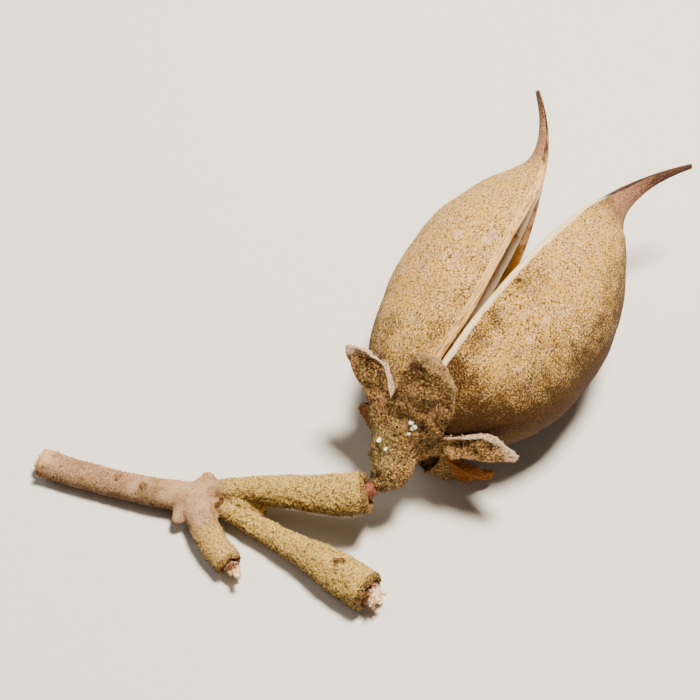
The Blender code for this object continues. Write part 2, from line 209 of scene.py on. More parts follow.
@dataclass(frozen=True)
class Finish:
    """A procedural finish: fine grain, patches, flecks and dark dots, tints by attribute, relief.

    The grain's three colours are those of its pits, middle and crests, as sRGB hex values. A tint
    is an attribute's name with its colours in the pits and on the crests. Sizes are millimetres.
    """

    name: str
    grain: tuple[str, str, str]
    grain_size: float
    patch: Speck
    fleck: Speck
    dot: Speck
    tints: tuple[tuple[str, str, str], ...] = ()
    roughness: float = 0.6
    sheen: float = 0.0
    relief: float = 0.05
    grain_spread: float = 0.13
    along_grain: float = 1.0
    follows_pod: bool = False
    specular: float = 0.15

    def material(self) -> bpy.types.Material:
        """Builds the material.

        Each tint takes over as its attribute rises, in the pits of the grain first. On a piece of
        the capsule the pattern follows the attribute grain, the place in the pod's own frame.

        Returns:
            The finished material.
        """
        made = bpy.data.materials.new(self.name)
        made.use_nodes = True
        tree = made.node_tree
        tree.nodes.clear()
        if self.follows_pod:
            kind = {"attribute_name": "grain", "attribute_type": "GEOMETRY"}
            place = add_node(tree, "ShaderNodeAttribute", **kind).outputs["Vector"]
        else:
            place = add_node(tree, "ShaderNodeTexCoord").outputs["Object"]
        stretch = {"Vector": place, "Scale": (1.0, 1.0, self.along_grain)}
        spot = add_node(tree, "ShaderNodeMapping", stretch).outputs[0]
        fine = {"Vector": spot, "Scale": per_mm(self.grain_size), "Detail": 5.0}
        grain = add_node(tree, "ShaderNodeTexNoise", fine | NOISE_ROUGHNESS).outputs["Fac"]
        pit, middle, crest = self.grain
        low, high = 0.5 - self.grain_spread, 0.5 + self.grain_spread
        stops = (low, pit), (high, crest), (0.5, middle)
        colour = add_node(tree, "ShaderNodeValToRGB", {"Fac": grain}, stops=stops).outputs[0]
        layers = (self.patch, 3.0, "MIX"), (self.fleck, 2.0, "MIX"), (self.dot, 2.0, "MULTIPLY")
        for speck, detail, blend in layers:
            spots = {"Vector": place, "Scale": per_mm(speck.size), "Detail": detail}
            found = add_node(tree, "ShaderNodeTexNoise", spots | NOISE_ROUGHNESS).outputs["Fac"]
            fade = {0: found, 1: speck.fade[0], 2: speck.fade[1], 4: speck.amount}
            share = add_node(tree, "ShaderNodeMapRange", fade).outputs[0]
            laid = {0: share, 6: colour, 7: linear(speck.colour)}
            kind = {"data_type": "RGBA", "blend_type": blend}
            colour = add_node(tree, "ShaderNodeMix", laid, **kind).outputs[2]
        for name, low_tint, high_tint in self.tints:
            kind = {"attribute_name": name, "attribute_type": "GEOMETRY"}
            amount = add_node(tree, "ShaderNodeAttribute", **kind).outputs["Fac"]
            sunk = {0: grain, 1: -TINT_SINK, 2: TINT_SINK / 2}
            depth = add_node(tree, "ShaderNodeMath", sunk, operation="MULTIPLY_ADD").outputs[0]
            level = add_node(tree, "ShaderNodeMath", {0: amount, 1: depth}, operation="ADD")
            fade = {0: level.outputs[0], 1: TINT_FADE[0], 2: TINT_FADE[1]}
            share = add_node(tree, "ShaderNodeMapRange", fade).outputs[0]
            stops = (low, low_tint), (high, high_tint)
            tinted = add_node(tree, "ShaderNodeValToRGB", {"Fac": grain}, stops=stops).outputs[0]
            laid = {0: share, 6: colour, 7: tinted}
            colour = add_node(tree, "ShaderNodeMix", laid, data_type="RGBA").outputs[2]
        bumps = {"Strength": 1.0, "Distance": self.relief * MM, "Height": grain}
        look = {
            "Base Color": colour,
            "Roughness": self.roughness,
            "Specular IOR Level": self.specular,
            "Sheen Weight": self.sheen,
            "Sheen Roughness": 0.5,
            "Normal": add_node(tree, "ShaderNodeBump", bumps).outputs[0],
        }
        shader = add_node(tree, "ShaderNodeBsdfPrincipled", look)
        add_node(tree, "ShaderNodeOutputMaterial", {"Surface": shader.outputs[0]})
        return made


# Felted skin of the ripe valves: stellate hairs worn to a tan felt.
# Its shade tint is mostly painted shade, on the side away from the light and underneath.
VALVE_FELT = Finish(
    name="valve_felt",
    grain=("#644a2a", "#be9250", "#f6d48c"),
    grain_size=0.19,
    patch=Speck("#d0a040", 2.4, PATCH_FADE, 0.5),
    fleck=Speck("#c9a090", 1.6, (0.60, 0.74), 0.7),
    dot=Speck("#7c7464", 0.27, (0.45, 0.38)),
    tints=(
        ("shade", "#160a02", "#62400f"),
        ("glow", "#5e4030", "#aa7c5e"),
        ("tip", "#26160f", "#5c402e"),
        ("bare", "#d0a882", "#f0d4b4"),
    ),
    roughness=0.85,
    sheen=0.02,
    relief=0.14,
    grain_spread=0.15,
    follows_pod=True,
)
# Split face of the shell: pale hard fibre with grain that runs along it. Its glow tint is painted
# shade, amber on the far rim.
SPLIT_RIM = Finish(
    name="split_rim",
    grain=("#b98a4c", "#e2b46c", "#f4ce8c"),
    grain_size=0.3,
    patch=Speck("#e0b080", 2.5, PATCH_FADE, 0.5),
    fleck=Speck("#f8dca0", 0.6, (0.62, 0.72), 0.5),
    dot=Speck("#c9a87c", 0.9, (0.38, 0.30)),
    tints=(
        ("bare", "#ecd096", "#fff2c4"),
        ("shade", "#442810", "#745028"),
        ("glow", "#502c06", "#7e4c12"),
        ("tip", "#26160f", "#4e3626"),
    ),
    along_grain=0.1,
    follows_pod=True,
)
# Lining of the chambers: thin, smooth, horny skin. Its shade tint is painted shade on the far side.
CHAMBER_LINING = Finish(
    name="chamber_lining",
    grain=("#d4b48c", "#e0c4a0", "#ead2b2"),
    grain_size=1.2,
    patch=Speck("#e6d2c4", 4.0, PATCH_FADE, 0.4),
    fleck=Speck("#efdcc4", 1.5, (0.66, 0.80), 0.4),
    dot=Speck("#c8ab8a", 2.0, (0.40, 0.28)),
    tints=(("shade", "#6e4414", "#a8722c"),),
    roughness=0.5,
    relief=0.02,
    along_grain=0.2,
    follows_pod=True,
)
# Woolly, warty woody tissue of the calyx. Its shade tint is mostly painted shade, in the pits, in
# the cup and on the lobes' inner faces; bare is the amber of the lobes in shadow, partly their
# own orange-tan.
CALYX_WOOL = Finish(
    name="calyx_wool",
    grain=("#3c2812", "#7c5a2e", "#c8a268"),
    grain_size=0.26,
    patch=Speck("#746c3a", 3.0, PATCH_FADE, 0.3),
    fleck=Speck("#b8875a", 2.2, (0.54, 0.66), 0.45),
    dot=Speck("#5a4026", 0.36, (0.42, 0.36)),
    tints=(
        ("shade", "#201206", "#4e3416"),
        ("tip", "#2c2a10", "#88804a"),
        ("glow", "#7c5c44", "#e6ccb6"),
        ("bare", "#68380e", "#9c5e1e"),
    ),
    roughness=0.9,
    sheen=0.03,
    relief=0.2,
    grain_spread=0.15,
)
# Young bark under a granular wool; bare and pinkish where the wool is rubbed off. Its shade
# tint is painted shade between the grains, on the side away from the light and in the torn
# ends, with dark marks of its own.
STALK_BARK = Finish(
    name="stalk_bark",
    grain=("#785a40", "#987656", "#c6a27e"),
    grain_size=0.2,
    patch=Speck("#7c5c34", 2.0, PATCH_FADE, 0.6),
    fleck=Speck("#c49c80", 2.4, (0.52, 0.66), 0.5),
    dot=Speck("#6a4630", 0.7, (0.35, 0.31)),
    tints=(
        ("glow", "#76581e", "#e4c26c"),
        ("bare", "#a07850", "#ecc898"),
        ("shade", "#2a1a0a", "#6a4a26"),
    ),
    roughness=0.88,
    sheen=0.03,
    relief=0.18,
    grain_spread=0.16,
)
# Bare reddish tissue where the calyx broke away.
NECK_TISSUE = Finish(
    name="neck_tissue",
    grain=("#34150c", "#62301f", "#8e5238"),
    grain_size=0.4,
    patch=Speck("#84503a", 0.9, PATCH_FADE, 0.5),
    fleck=Speck("#b07c5c", 0.35, (0.66, 0.72)),
    dot=Speck("#6a3a28", 0.3, (0.42, 0.36)),
    relief=0.08,
)
# Freshly torn pale wood: soft fibres that broke at different heights. Its shade tint is painted
# shade round the plug's side.
TORN_WOOD = Finish(
    name="torn_wood",
    grain=("#b98a5c", "#eecb98", "#fde8c2"),
    grain_size=0.3,
    patch=Speck("#f2cfae", 0.8, PATCH_FADE, 0.5),
    fleck=Speck("#fff6ec", 0.3, (0.60, 0.70), 0.8),
    dot=Speck("#b98a68", 0.35, (0.40, 0.32)),
    tints=(("shade", "#3a2010", "#7c5236"),),
    roughness=0.75,
)
# Dried nectar or resin: white, slightly waxy crystals.
CRYSTAL_WHITE = Finish(
    name="crystal_white",
    grain=("#d8cfc2", "#f4eee6", "#ffffff"),
    grain_size=0.25,
    patch=Speck("#fffaf4", 0.5, PATCH_FADE, 0.3),
    fleck=Speck("#ffffff", 0.3, (0.6, 0.7)),
    dot=Speck("#d8cbb8", 0.25, (0.36, 0.28)),
    roughness=0.4,
)


def noise_at(points: np.ndarray, size: float, shift: float = 0.0) -> np.ndarray:
    """Smooth noise at points.

    Args:
        points: places in millimetres, one row each.
        size: width of the noise's features in millimetres.
        shift: moves the pattern, so that two layers differ.

    Returns:
        A value of about -1 to 1 for each point.
    """
    offset = Vector((shift, shift * 0.7, shift * 1.3))
    return np.array([noise.noise(Vector(p) / size + offset) for p in points])


def beads_at(points: np.ndarray, size: float, shift: float = 0.0) -> np.ndarray:
    """Rounded bumps, one in each cell of a random net.

    Args:
        points: places in millimetres, one row each.
        size: distance between bumps in millimetres.
        shift: moves the pattern.

    Returns:
        0 between bumps to 1 on top of one.
    """
    offset = Vector((shift, shift * 1.7, -shift))
    near = np.array([noise.voronoi(Vector(p) / size + offset)[0][0] for p in points])
    return np.clip(1.0 - (near / 0.75) ** 2, 0.0, 1.0)


def marked(places: np.ndarray, marks: Marks) -> np.ndarray:
    """Strength of ragged blotches, each of which fades out at its radius.

    Args:
        places: where to read it, in the drawing frame, one row each.
        marks: place, radius and strength of each blotch.

    Returns:
        The strongest blotch's strength at each place.
    """
    found = np.zeros(len(places))
    ragged = 0.4 * noise_at(places, 0.6, 2.0)
    for place, radius, strength in marks:
        away = np.linalg.norm(places - np.array(place), axis=1) / radius + ragged
        found = np.maximum(found, strength * (1.0 - ramp_array(away, 0.5, 1.0)))
    return found


class Skin:
    """Points and faces of one piece while it is being made, in the drawing frame."""

    def __init__(self, name: str) -> None:
        """Starts an empty piece."""
        self.name = name
        self.points: list[Vector] = []
        self.faces: list[tuple[int, ...]] = []
        self.coats: list[int] = []
        self.values: dict[str, list[float]] = {"shade": [], "glow": [], "bare": [], "tip": []}
        self.grain: list[Vector] = []

    def add_point(self, point: Vector, **values: float) -> int:
        """Adds a point with its attribute values and returns its index."""
        self.points.append(point)
        for name, column in self.values.items():
            column.append(values.get(name, 0.0))
        return len(self.points) - 1

    def add_face(self, corners: Sequence[int], coat: Coat = Coat.SKIN) -> None:
        """Adds a face."""
        self.faces.append(tuple(corners))
        self.coats.append(coat.value)

    def close_rings(
        self,
        rings: Sequence[Sequence[int]],
        coat_of: Callable[[int], Coat] = lambda column: Coat.SKIN,
    ) -> None:
        """Joins rings of equal count by quads, and closes both ends with a fan.

        Args:
            rings: point indices, ring by ring.
            coat_of: gives the coat of the strip that starts at a column.
        """
        count = len(rings[0])
        for low, high in zip(rings, rings[1:]):
            for i in range(count):
                j = (i + 1) % count
                self.add_face((low[i], low[j], high[j], high[i]), coat_of(i))
        for ring, flip in ((rings[0], True), (rings[-1], False)):
            middle = sum((self.points[i] for i in ring), Vector()) / count
            hub = self.add_point(middle, shade=self.values["shade"][ring[0]])
            for i in range(count):
                j = (i + 1) % count
                corners = (ring[j], ring[i], hub) if flip else (ring[i], ring[j], hub)
                self.add_face(corners, coat_of(i))

    def to_object(self) -> bpy.types.Object:
        """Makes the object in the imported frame.

        Returns:
            The object, with outward faces and its attributes.
        """
        mesh = bpy.data.meshes.new(self.name)
        placed = [(p - MIDDLE) * MM for p in self.points]
        mesh.from_pydata([tuple(p) for p in placed], [], self.faces)
        mesh.polygons.foreach_set("material_index", self.coats)
        for name, column in self.values.items():
            layer = mesh.attributes.new(name, "FLOAT", "POINT")
            layer.data.foreach_set("value", column)
        if self.grain:
            layer = mesh.attributes.new("grain", "FLOAT_VECTOR", "POINT")
            layer.data.foreach_set("vector", [c * MM for place in self.grain for c in place])
        mesh.update()
        if volume_of(mesh) < 0:
            mesh.flip_normals()
        mesh.shade_smooth()
        return linked(self.name, mesh)


def linked(name: str, data: bpy.types.ID) -> bpy.types.Object:
    """Adds an object with its data to the scene."""
    obj = bpy.data.objects.new(name, data)
    bpy.context.scene.collection.objects.link(obj)
    return obj


def settled(rough: bpy.types.Object, name: str) -> bpy.types.Object:
    """Turns what an object's modifiers make into a plain mesh, and removes the object.

    Args:
        rough: the object with its modifiers.
        name: name of the new piece.

    Returns:
        The new piece.
    """
    bpy.context.view_layer.update()
    graph = bpy.context.evaluated_depsgraph_get()
    mesh = bpy.data.meshes.new_from_object(rough.evaluated_get(graph))
    bpy.data.objects.remove(rough)
    mesh.name = name
    return linked(name, mesh)


def volume_of(mesh: bpy.types.Mesh) -> float:
    """Signed volume of a closed mesh: negative if its faces point inwards."""
    mesh.calc_loop_triangles()
    points = points_of(mesh) / MM
    corners = np.zeros(len(mesh.loop_triangles) * 3, np.int32)
    mesh.loop_triangles.foreach_get("vertices", corners)
    a, b, c = (points[corners[k::3]] for k in range(3))
    return float(np.einsum("ij,ij->i", a, np.cross(b, c)).sum())


def points_of(mesh: bpy.types.Mesh) -> np.ndarray:
    """Vertex positions in metres, one row each."""
    flat = np.zeros(len(mesh.vertices) * 3, np.float32)
    mesh.vertices.foreach_get("co", flat)
    return flat.reshape(-1, 3).astype(float)


def normals_of(mesh: bpy.types.Mesh) -> np.ndarray:
    """Vertex normals, one row each."""
    return np.array([v.vector for v in mesh.vertex_normals])


def raise_surface(mesh: bpy.types.Mesh, heights: np.ndarray) -> None:
    """Moves every vertex out along its normal, but never below the floor.

    Args:
        mesh: the mesh to change.
        heights: how far each vertex moves, in millimetres.
    """
    points = points_of(mesh)
    moved = points + normals_of(mesh) * heights[:, None] * MM
    moved[:, 2] = np.maximum(moved[:, 2], 0.0)
    mesh.vertices.foreach_set("co", moved.astype(np.float32).ravel())
    mesh.update()


def set_values(mesh: bpy.types.Mesh, name: str, values: np.ndarray) -> None:
    """Writes one number for each vertex under an attribute's name."""
    layer = mesh.attributes.get(name) or mesh.attributes.new(name, "FLOAT", "POINT")
    layer.data.foreach_set("value", values.astype(np.float32))


def get_values(mesh: bpy.types.Mesh, name: str) -> np.ndarray:
    """Reads an attribute's number for each vertex."""
    values = np.zeros(len(mesh.vertices), np.float32)
    mesh.attributes[name].data.foreach_get("value", values)
    return values.astype(float)


def drawing_points(mesh: bpy.types.Mesh) -> np.ndarray:
    """Vertex positions in the drawing frame, in millimetres."""
    return points_of(mesh) / MM + np.array(MIDDLE)


def dress(obj: bpy.types.Object, slot: str, *finishes: bpy.types.Material) -> bpy.types.Object:
    """Gives a piece its materials and its body. Faces keep their coats.

    Args:
        obj: the piece.
        slot: the record's material slot; not used.
        *finishes: one material for each coat, in the order of Coat.

    Returns:
        The piece.
    """
    coats = [face.material_index for face in obj.data.polygons]
    obj.data.materials.clear()  # sets every face's index back to 0
    for finish in finishes:
        obj.data.materials.append(finish)
    obj.data.polygons.foreach_set("material_index", coats)
    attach(obj, "root")
    return obj


# Zones along the pod, from its seat: the painted shade at the foot, where the pod sits in the
# calyx, fades out, the worn edge and the shade along the seam end, the shell tapers, the beak's
# bare skin begins.
FOOT_ZONE = (3.0, 15.0)
SEAM_END = (18.0, 28.0)
WORN_END = (29.0, 33.0)
TAPER_ZONE = (30.0, 37.0)
BEAK_ZONE = (33.0, 40.0)
RIM_TIP_ZONE = (34.0, 40.0)
# The pattern's place on the second valve is this far from the first's, so that they differ.
GRAIN_SHIFT = 30.0


@dataclass
class ValveShell:
    """One valve of the capsule: felted shell, split rims, lining, partition and beak.

    Tone is how strong the painted shade on the felt and on the beak is, with the darker seam
    margin: the right valve, which lies more in shade, takes the most. Worn is the width of the bare
    strip along the near rim, cream how pale the rim is, and cracks are the shares across the rim
    that split.
    """

    name: str
    side: int
    outline: Sequence[Row]
    opening: float
    curl_start: float
    curl_turn: float
    curl_power: float
    rim_bevel: float
    tone: float
    worn: float
    cream: float
    hinge_start: float = 10.0
    hinge_end: float = 15.0
    wall: float = 1.0
    partition: float = 0.75
    partition_inset: float = 0.35
    partition_taper: float = 0.25
    rim_crown: float = 0.05
    cavity_start: tuple[float, float] = (1.0, 5.0)
    cavity_end: float = 37.0
    cavity_fade: float = 6.0
    skin_steps: int = 96
    crowding: float = 1.6
    rim_steps: int = 10
    lining_steps: int = 14
    partition_steps: int = 8
    station_step: float = 0.28
    tip_steps: int = 5
    cracks: tuple[float, ...] = ()

    def section(
        self, depth: float, height: float, cavity: float, place: float
    ) -> list[RingPoint]:
        """Closed ring of the valve.

        Args:
            depth: how far the shell reaches behind the seam plane.
            height: half of the shell's height at the seam plane.
            cavity: 0 where the shell is solid to 1 where it is hollow.
            place: distance along the pod, which steers the rim's unevenness.

        Returns:
            Rows of x, y, coat of the strip that follows, and share across the rim.
        """
        wall = min(self.wall, 0.35 * height, 0.35 * depth)
        slant = min(self.rim_bevel, 0.3 * depth)
        wave = 0.10 * noise.noise(Vector((place / 1.3, self.side * 5.0, 0.0)))
        wave += 0.05 * noise.noise(Vector((place / 0.45, self.side * 9.0, 0.0)))
        edge = max(0.05, slant + wave * min(1.0, depth / 6.0))
        reach = math.acos(min(0.99, edge / depth))
        ring = []
        for i in range(self.skin_steps + 1):
            share = 1 - 2 * i / self.skin_steps
            angle = math.copysign(reach * (1 - (1 - abs(share)) ** self.crowding), share)
            ring.append((height * math.sin(angle), depth * math.cos(angle), Coat.SKIN, 0.0))
        inner_height, inner_depth = height - wall, depth - wall
        half_partition = min(self.partition / 2, 0.3 * inner_height)
        root = math.asin(half_partition / inner_height)
        half = []
        for i in range(self.lining_steps + 1):
            angle = math.pi / 2 + (root - math.pi / 2) * i / self.lining_steps
            half.append((inner_height * math.sin(angle), inner_depth * math.cos(angle)))
        root_depth = half[-1][1]
        inset = min(self.partition_inset, 0.5 * root_depth)
        for i in range(1, self.partition_steps + 1):
            share = i / self.partition_steps
            reach_in = root_depth + (inset - root_depth) * share
            half.append((half_partition * (1 - self.partition_taper * share), reach_in))
        full = [(-x, y) for x, y in half] + half[::-1]
        lining = []
        for i, (x, y) in enumerate(full):
            flat_x = inner_height * (2 * i / (len(full) - 1) - 1)
            lining.append((flat_x + (x - flat_x) * cavity, y * cavity, Coat.LINING, 1.0))
        far = self.rim(ring[-1], lining[0])
        near = self.rim(lining[-1], ring[0])
        ring[-1] = (*ring[-1][:2], Coat.RIM, 0.0)
        lining[-1] = (*lining[-1][:2], Coat.RIM, 1.0)
        return ring + far + lining + near

    def rim(self, start: RingPoint, end: RingPoint) -> list[RingPoint]:
        """Points across a rim, slightly crowned.

        Args:
            start: the point of the ring before the rim.
            end: the point of the ring after it.

        Returns:
            The points between them.
        """
        points = []
        for i in range(1, self.rim_steps):
            share = i / self.rim_steps
            across = start[3] + (end[3] - start[3]) * share
            crown = self.rim_crown * math.sin(math.pi * share)
            x = start[0] + (end[0] - start[0]) * share
            y = start[1] + (end[1] - start[1]) * share - crown
            points.append((x, y, Coat.RIM, across))
        return points

    def stations(self) -> list[tuple[float, Vector, float]]:
        """Follows the valve's spine from the seat to the beak's tip.

        Returns:
            Distance, position in the pod frame and heading of each station.
        """
        start, end = self.outline[0][0], self.outline[-1][0]
        steps = math.ceil((end - start) / self.station_step)
        place = Vector((0.0, self.side * CLEARANCE / 2, start))
        found = []
        before, heading_before = start, 0.0
        for i in range(steps + 1):
            distance = start + (end - start) * i / steps
            opening = math.radians(self.opening) * ramp(distance, self.hinge_start, self.hinge_end)
            share = max(0.0, distance - self.curl_start) / (end - self.curl_start)
            heading = self.side * (opening + math.radians(self.curl_turn) * share**self.curl_power)
            between = (heading + heading_before) / 2
            ahead = Vector((0.0, math.sin(between), math.cos(between)))
            place = place + ahead * (distance - before)
            before, heading_before = distance, heading
            found.append((distance, place, heading))
        return found

    def build(self) -> bpy.types.Object:
        """Makes the valve's mesh with its relief.

        Returns:
            The object, with no materials yet.
        """
        skin = Skin(self.name + "_shell")
        placing = pod_placing()
        rings = []
        coats: list[Coat] = []
        for distance, place, heading in self.stations():
            depth, height = along_curve(self.outline, distance)
            cavity = ramp(distance, *self.cavity_start)
            cavity *= smooth_step((self.cavity_end - distance) / self.cavity_fade)
            across = Vector((0.0, math.cos(heading), -math.sin(heading))) * self.side
            ring = []
            section = self.section(depth, height, cavity, distance)
            coats = [row[2] for row in section]
            for x, y, coat, share in section:
                point = place + Vector((x, 0.0, 0.0)) + across * y
                values = self.values(x, y, coat, share, distance)
                ring.append(skin.add_point(placing @ point, **values))
                skin.grain.append(Vector((x, y + GRAIN_SHIFT * self.side, distance)))
            rings.append(ring)
        skin.close_rings(rings, lambda i: coats[i])
        skin.grain += [skin.grain[0], skin.grain[-1]]
        obj = skin.to_object()
        self.add_relief(obj.data)
        return obj

    def values(
        self, x: float, y: float, coat: Coat, share: float, distance: float
    ) -> dict[str, float]:
        """Attribute values of a point.

        Args:
            x: height of the point towards the near seam.
            y: depth of the point behind the seam plane.
            coat: the surface that it is on.
            share: its place across the rim, 0 at the skin to 1 at the lining.
            distance: its place along the pod.

        Returns:
            The strength of each tint: shade, glow, bare and tip.
        """
        if coat is Coat.SKIN:
            return self.skin_values(x, y, distance)
        if coat is Coat.LINING:
            # Painted shade on the lining's far side, away from the light.
            return {"shade": 0.9 * ramp(-x, -1.0, 8.0)}
        # On the rim, glow is painted shade: amber on the far rim and near the foot in the calyx;
        # tip darkens the beak's rim, painted shade on the valve with more tone.
        beak = ramp(distance, *BEAK_ZONE)
        foot = 0.3 * (1.0 - ramp(distance, 3.0, 9.0))
        return {
            "shade": max(self.crack_at(share, distance), 0.95 * beak),
            "glow": max(ramp(-x, 0.0, 3.0), foot),
            "bare": self.cream,
            "tip": 1.2 * self.tone * ramp(distance, *RIM_TIP_ZONE),
        }

    def skin_values(self, x: float, y: float, distance: float) -> dict[str, float]:
        """Tints of the felt: painted shade at the foot in the calyx, on the underside and on the
        tapering beak, partly a browner felt; a darker seam margin, a worn edge, and a bare
        dark-tipped beak.

        Args:
            x: height of the point towards the near seam.
            y: depth of the point behind the seam plane.
            distance: its place along the pod.

        Returns:
            The strength of each tint.
        """
        # Painted shade: taper on the beak, foot where the pod sits in the calyx and under on its
        # underside, partly a browner felt there.
        taper = ramp(distance, *TAPER_ZONE)
        edge = max(0.0, math.hypot(x - self.rim_place(distance), y) - self.rim_bevel)
        patchy = 0.5 + 0.5 * noise.noise(Vector((distance / 2.4, self.side * 3.0, 7.0)))
        foot = 1.0 - ramp(distance, *FOOT_ZONE)
        under = ramp(-x + 0.8 * y, 3.0, 15.0)
        seam = (1.0 - ramp(edge, 1.0, 5.0)) * patchy * (x > 0) * (1.0 - ramp(distance, *SEAM_END))
        dark = self.tone * (0.6 * foot + 0.85 * under + 0.95 * seam + 0.7 * taper)
        dark -= 0.35 * (1.0 - self.tone) * taper
        width = self.worn * (0.8 + 0.5 * noise.noise(Vector((distance / 1.1, 1.0, self.side))))
        worn = min(1.6, (width - edge) / 0.12) if x > 0 and self.worn else -1.0
        ended = ramp(distance, *WORN_END)
        tip = ramp(distance, 43.0 - 6.0 * self.tone, 50.0 - 2.0 * self.tone)
        return {
            "shade": min(1.1, dark),
            "glow": ramp(distance, *BEAK_ZONE) * (0.9 + 0.1 * self.tone),
            "bare": worn * (1.0 - ended) - ended,
            "tip": tip * (0.85 + 0.35 * self.tone),
        }

    def rim_place(self, distance: float) -> float:
        """Height of the near rim at a distance along the pod."""
        return along_curve(self.outline, distance)[1]

    def crack_at(self, share: float, distance: float) -> float:
        """Darkness of the hair cracks that run along the rim.

        Args:
            share: place across the rim, 0 to 1.
            distance: place along the pod.

        Returns:
            0 off the cracks to 0.6 in one.
        """
        dark = 0.0
        for k, crack in enumerate(self.cracks):
            wander = 0.09 * noise.noise(Vector((distance / 6.0, k * 7.3, self.side)))
            gate = ramp(noise.noise(Vector((distance / 5.0, k * 3.1, 4.0))), -0.25, 0.0)
            dark = max(dark, 0.6 * gate * (1.0 - ramp(abs(share - crack - wander), 0.02, 0.08)))
        return dark

    def add_relief(self, mesh: bpy.types.Mesh) -> None:
        """Gives the felt its lumps and its painted shade on the side away from the light, and sinks
        the cracks of the rims.

        Args:
            mesh: the valve's mesh, with its values.
        """
        places = drawing_points(mesh)
        felt = np.zeros(len(places))
        rim = np.zeros(len(places))
        for face in mesh.polygons:
            target = felt if face.material_index == Coat.SKIN.value else rim
            for v in face.vertices:
                target[v] = 1.0
        felt = felt * (1.0 - rim)
        beak = get_values(mesh, "glow") * felt
        lumps = 0.12 * noise_at(places, 5.5, self.side) + 0.05 * noise_at(places, 1.8, 3.0)
        grains = 0.035 * noise_at(places, 0.55, 8.0)
        # Painted shade: the felt that faces away from the light is darkened.
        facing = normals_of(mesh) @ np.array(LIGHT_FOR_PAINTED_SHADE)
        away = 1.3 - 0.85 * ramp_array(facing, 0.1, 0.85) - 0.45 * ramp_array(facing, -0.3, 0.3)
        shade = get_values(mesh, "shade")
        mottle = 0.22 * noise_at(places, 4.0, 2.0) + 0.30 * noise_at(places, 1.2, 6.0)
        dark = np.maximum(np.maximum(shade, away) + mottle, marked(places, DARK_MARKS))
        set_values(mesh, "shade", dark * felt + shade * rim)
        pale = np.maximum(get_values(mesh, "bare"), marked(places, PALE_MARKS))
        set_values(mesh, "bare", pale)
        heights = felt * (lumps * (1 - 0.8 * beak) + grains * (1 - 0.6 * beak))
        raise_surface(mesh, heights - 0.05 * shade * rim)


# Blotches of the felt: place in the drawing frame, radius and strength.
PALE_MARKS: Marks = (
    ((12.4, 1.6, 21.8), 1.0, 0.5),
    ((15.2, 0.2, 22.6), 0.6, 0.6),
    ((20.1, -11.0, 19.1), 0.6, 0.6),
    ((22.1, -9.0, 19.7), 0.6, 0.5),
)
DARK_MARKS: Marks = (
    ((18.9, -5.0, 22.0), 0.45, 1.2),
    ((4.5, -7.3, 16.5), 2.5, 0.6),
    ((12.5, -16.0, 16.9), 3.4, 0.8),
)

RIGHT_OUTLINE = (
    (-2.5, 0.8, 0.8),
    (-1.6, 2.2, 2.2),
    (0.0, 3.9, 3.9),
    (4.0, 8.6, 8.2),
    (8.0, 11.8, 9.8),
    (13.0, 13.3, 10.6),
    (18.5, 13.3, 11.2),
    (23.0, 12.5, 10.7),
    (28.5, 10.2, 8.6),
    (32.5, 7.5, 6.4),
    (35.0, 5.4, 4.4),
    (37.0, 4.0, 2.9),
    (39.0, 2.8, 2.1),
    (41.5, 1.9, 1.4),
    (44.5, 1.2, 0.9),
    (49.4, 0.5, 0.45),
)
LEFT_OUTLINE = (
    (-2.5, 0.8, 0.8),
    (-1.6, 2.2, 2.2),
    (0.0, 3.9, 3.9),
    (4.0, 8.1, 7.6),
    (8.5, 10.5, 9.5),
    (13.5, 11.5, 10.9),
    (18.0, 11.7, 11.1),
    (24.0, 11.0, 10.7),
    (29.5, 9.0, 8.4),
    (33.0, 7.2, 6.3),
    (35.5, 4.9, 4.2),
    (38.0, 2.6, 2.4),
    (41.5, 1.3, 1.4),
    (48.3, 0.5, 0.45),
)


RIGHT_VALVE = ValveShell(
    name="valve_right",
    side=1,
    outline=RIGHT_OUTLINE,
    opening=4.4,
    curl_start=35.0,
    curl_turn=35.0,
    curl_power=0.62,
    rim_bevel=0.7,
    tone=1.0,
    worn=0.35,
    cream=1.4,
    cracks=(0.8,),
)
LEFT_VALVE = ValveShell(
    name="valve_left",
    side=-1,
    outline=LEFT_OUTLINE,
    opening=8.7,
    curl_start=24.0,
    curl_turn=43.0,
    curl_power=1.5,
    rim_bevel=0.85,
    tone=0.55,
    worn=0.1,
    cream=0.0,
    cracks=(0.2, 0.45, 0.8),
)


@dataclass
class Capsule:
    """The pod's two valves."""

    valves: tuple[ValveShell, ...] = (RIGHT_VALVE, LEFT_VALVE)

    def build(self) -> list[bpy.types.Object]:
        """Makes and dresses both valves.

        Returns:
            The two pieces.
        """
        felt, rim, lining = (f.material() for f in (VALVE_FELT, SPLIT_RIM, CHAMBER_LINING))
        made = []
        for valve in self.valves:
            obj = dress(valve.build(), "capsule", felt, rim, lining)
            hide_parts(valve.name)
            made.append(obj)
        return made


@dataclass(frozen=True)
class Lobe:
    """One calyx lobe.

    Azimuth, span and twist are degrees round the pod. Tip is the radius and height of its point,
    and margin the two powers that round its outline. Flare widens it, bow bends it out, keel
    folds it, rib runs down its middle and hollow sinks its halves. Pale is the strength of the
    pale tint on its margin, and amber that of the amber tint on its upper part: painted shade on
    the lobes that lie in shadow, partly their own orange-tan.
    """

    azimuth: float
    span: float
    twist: float
    flare: float
    tip: tuple[float, float]
    bow: float
    keel: float
    rib: float
    hollow: float
    margin: tuple[float, float]
    pale: float
    amber: float


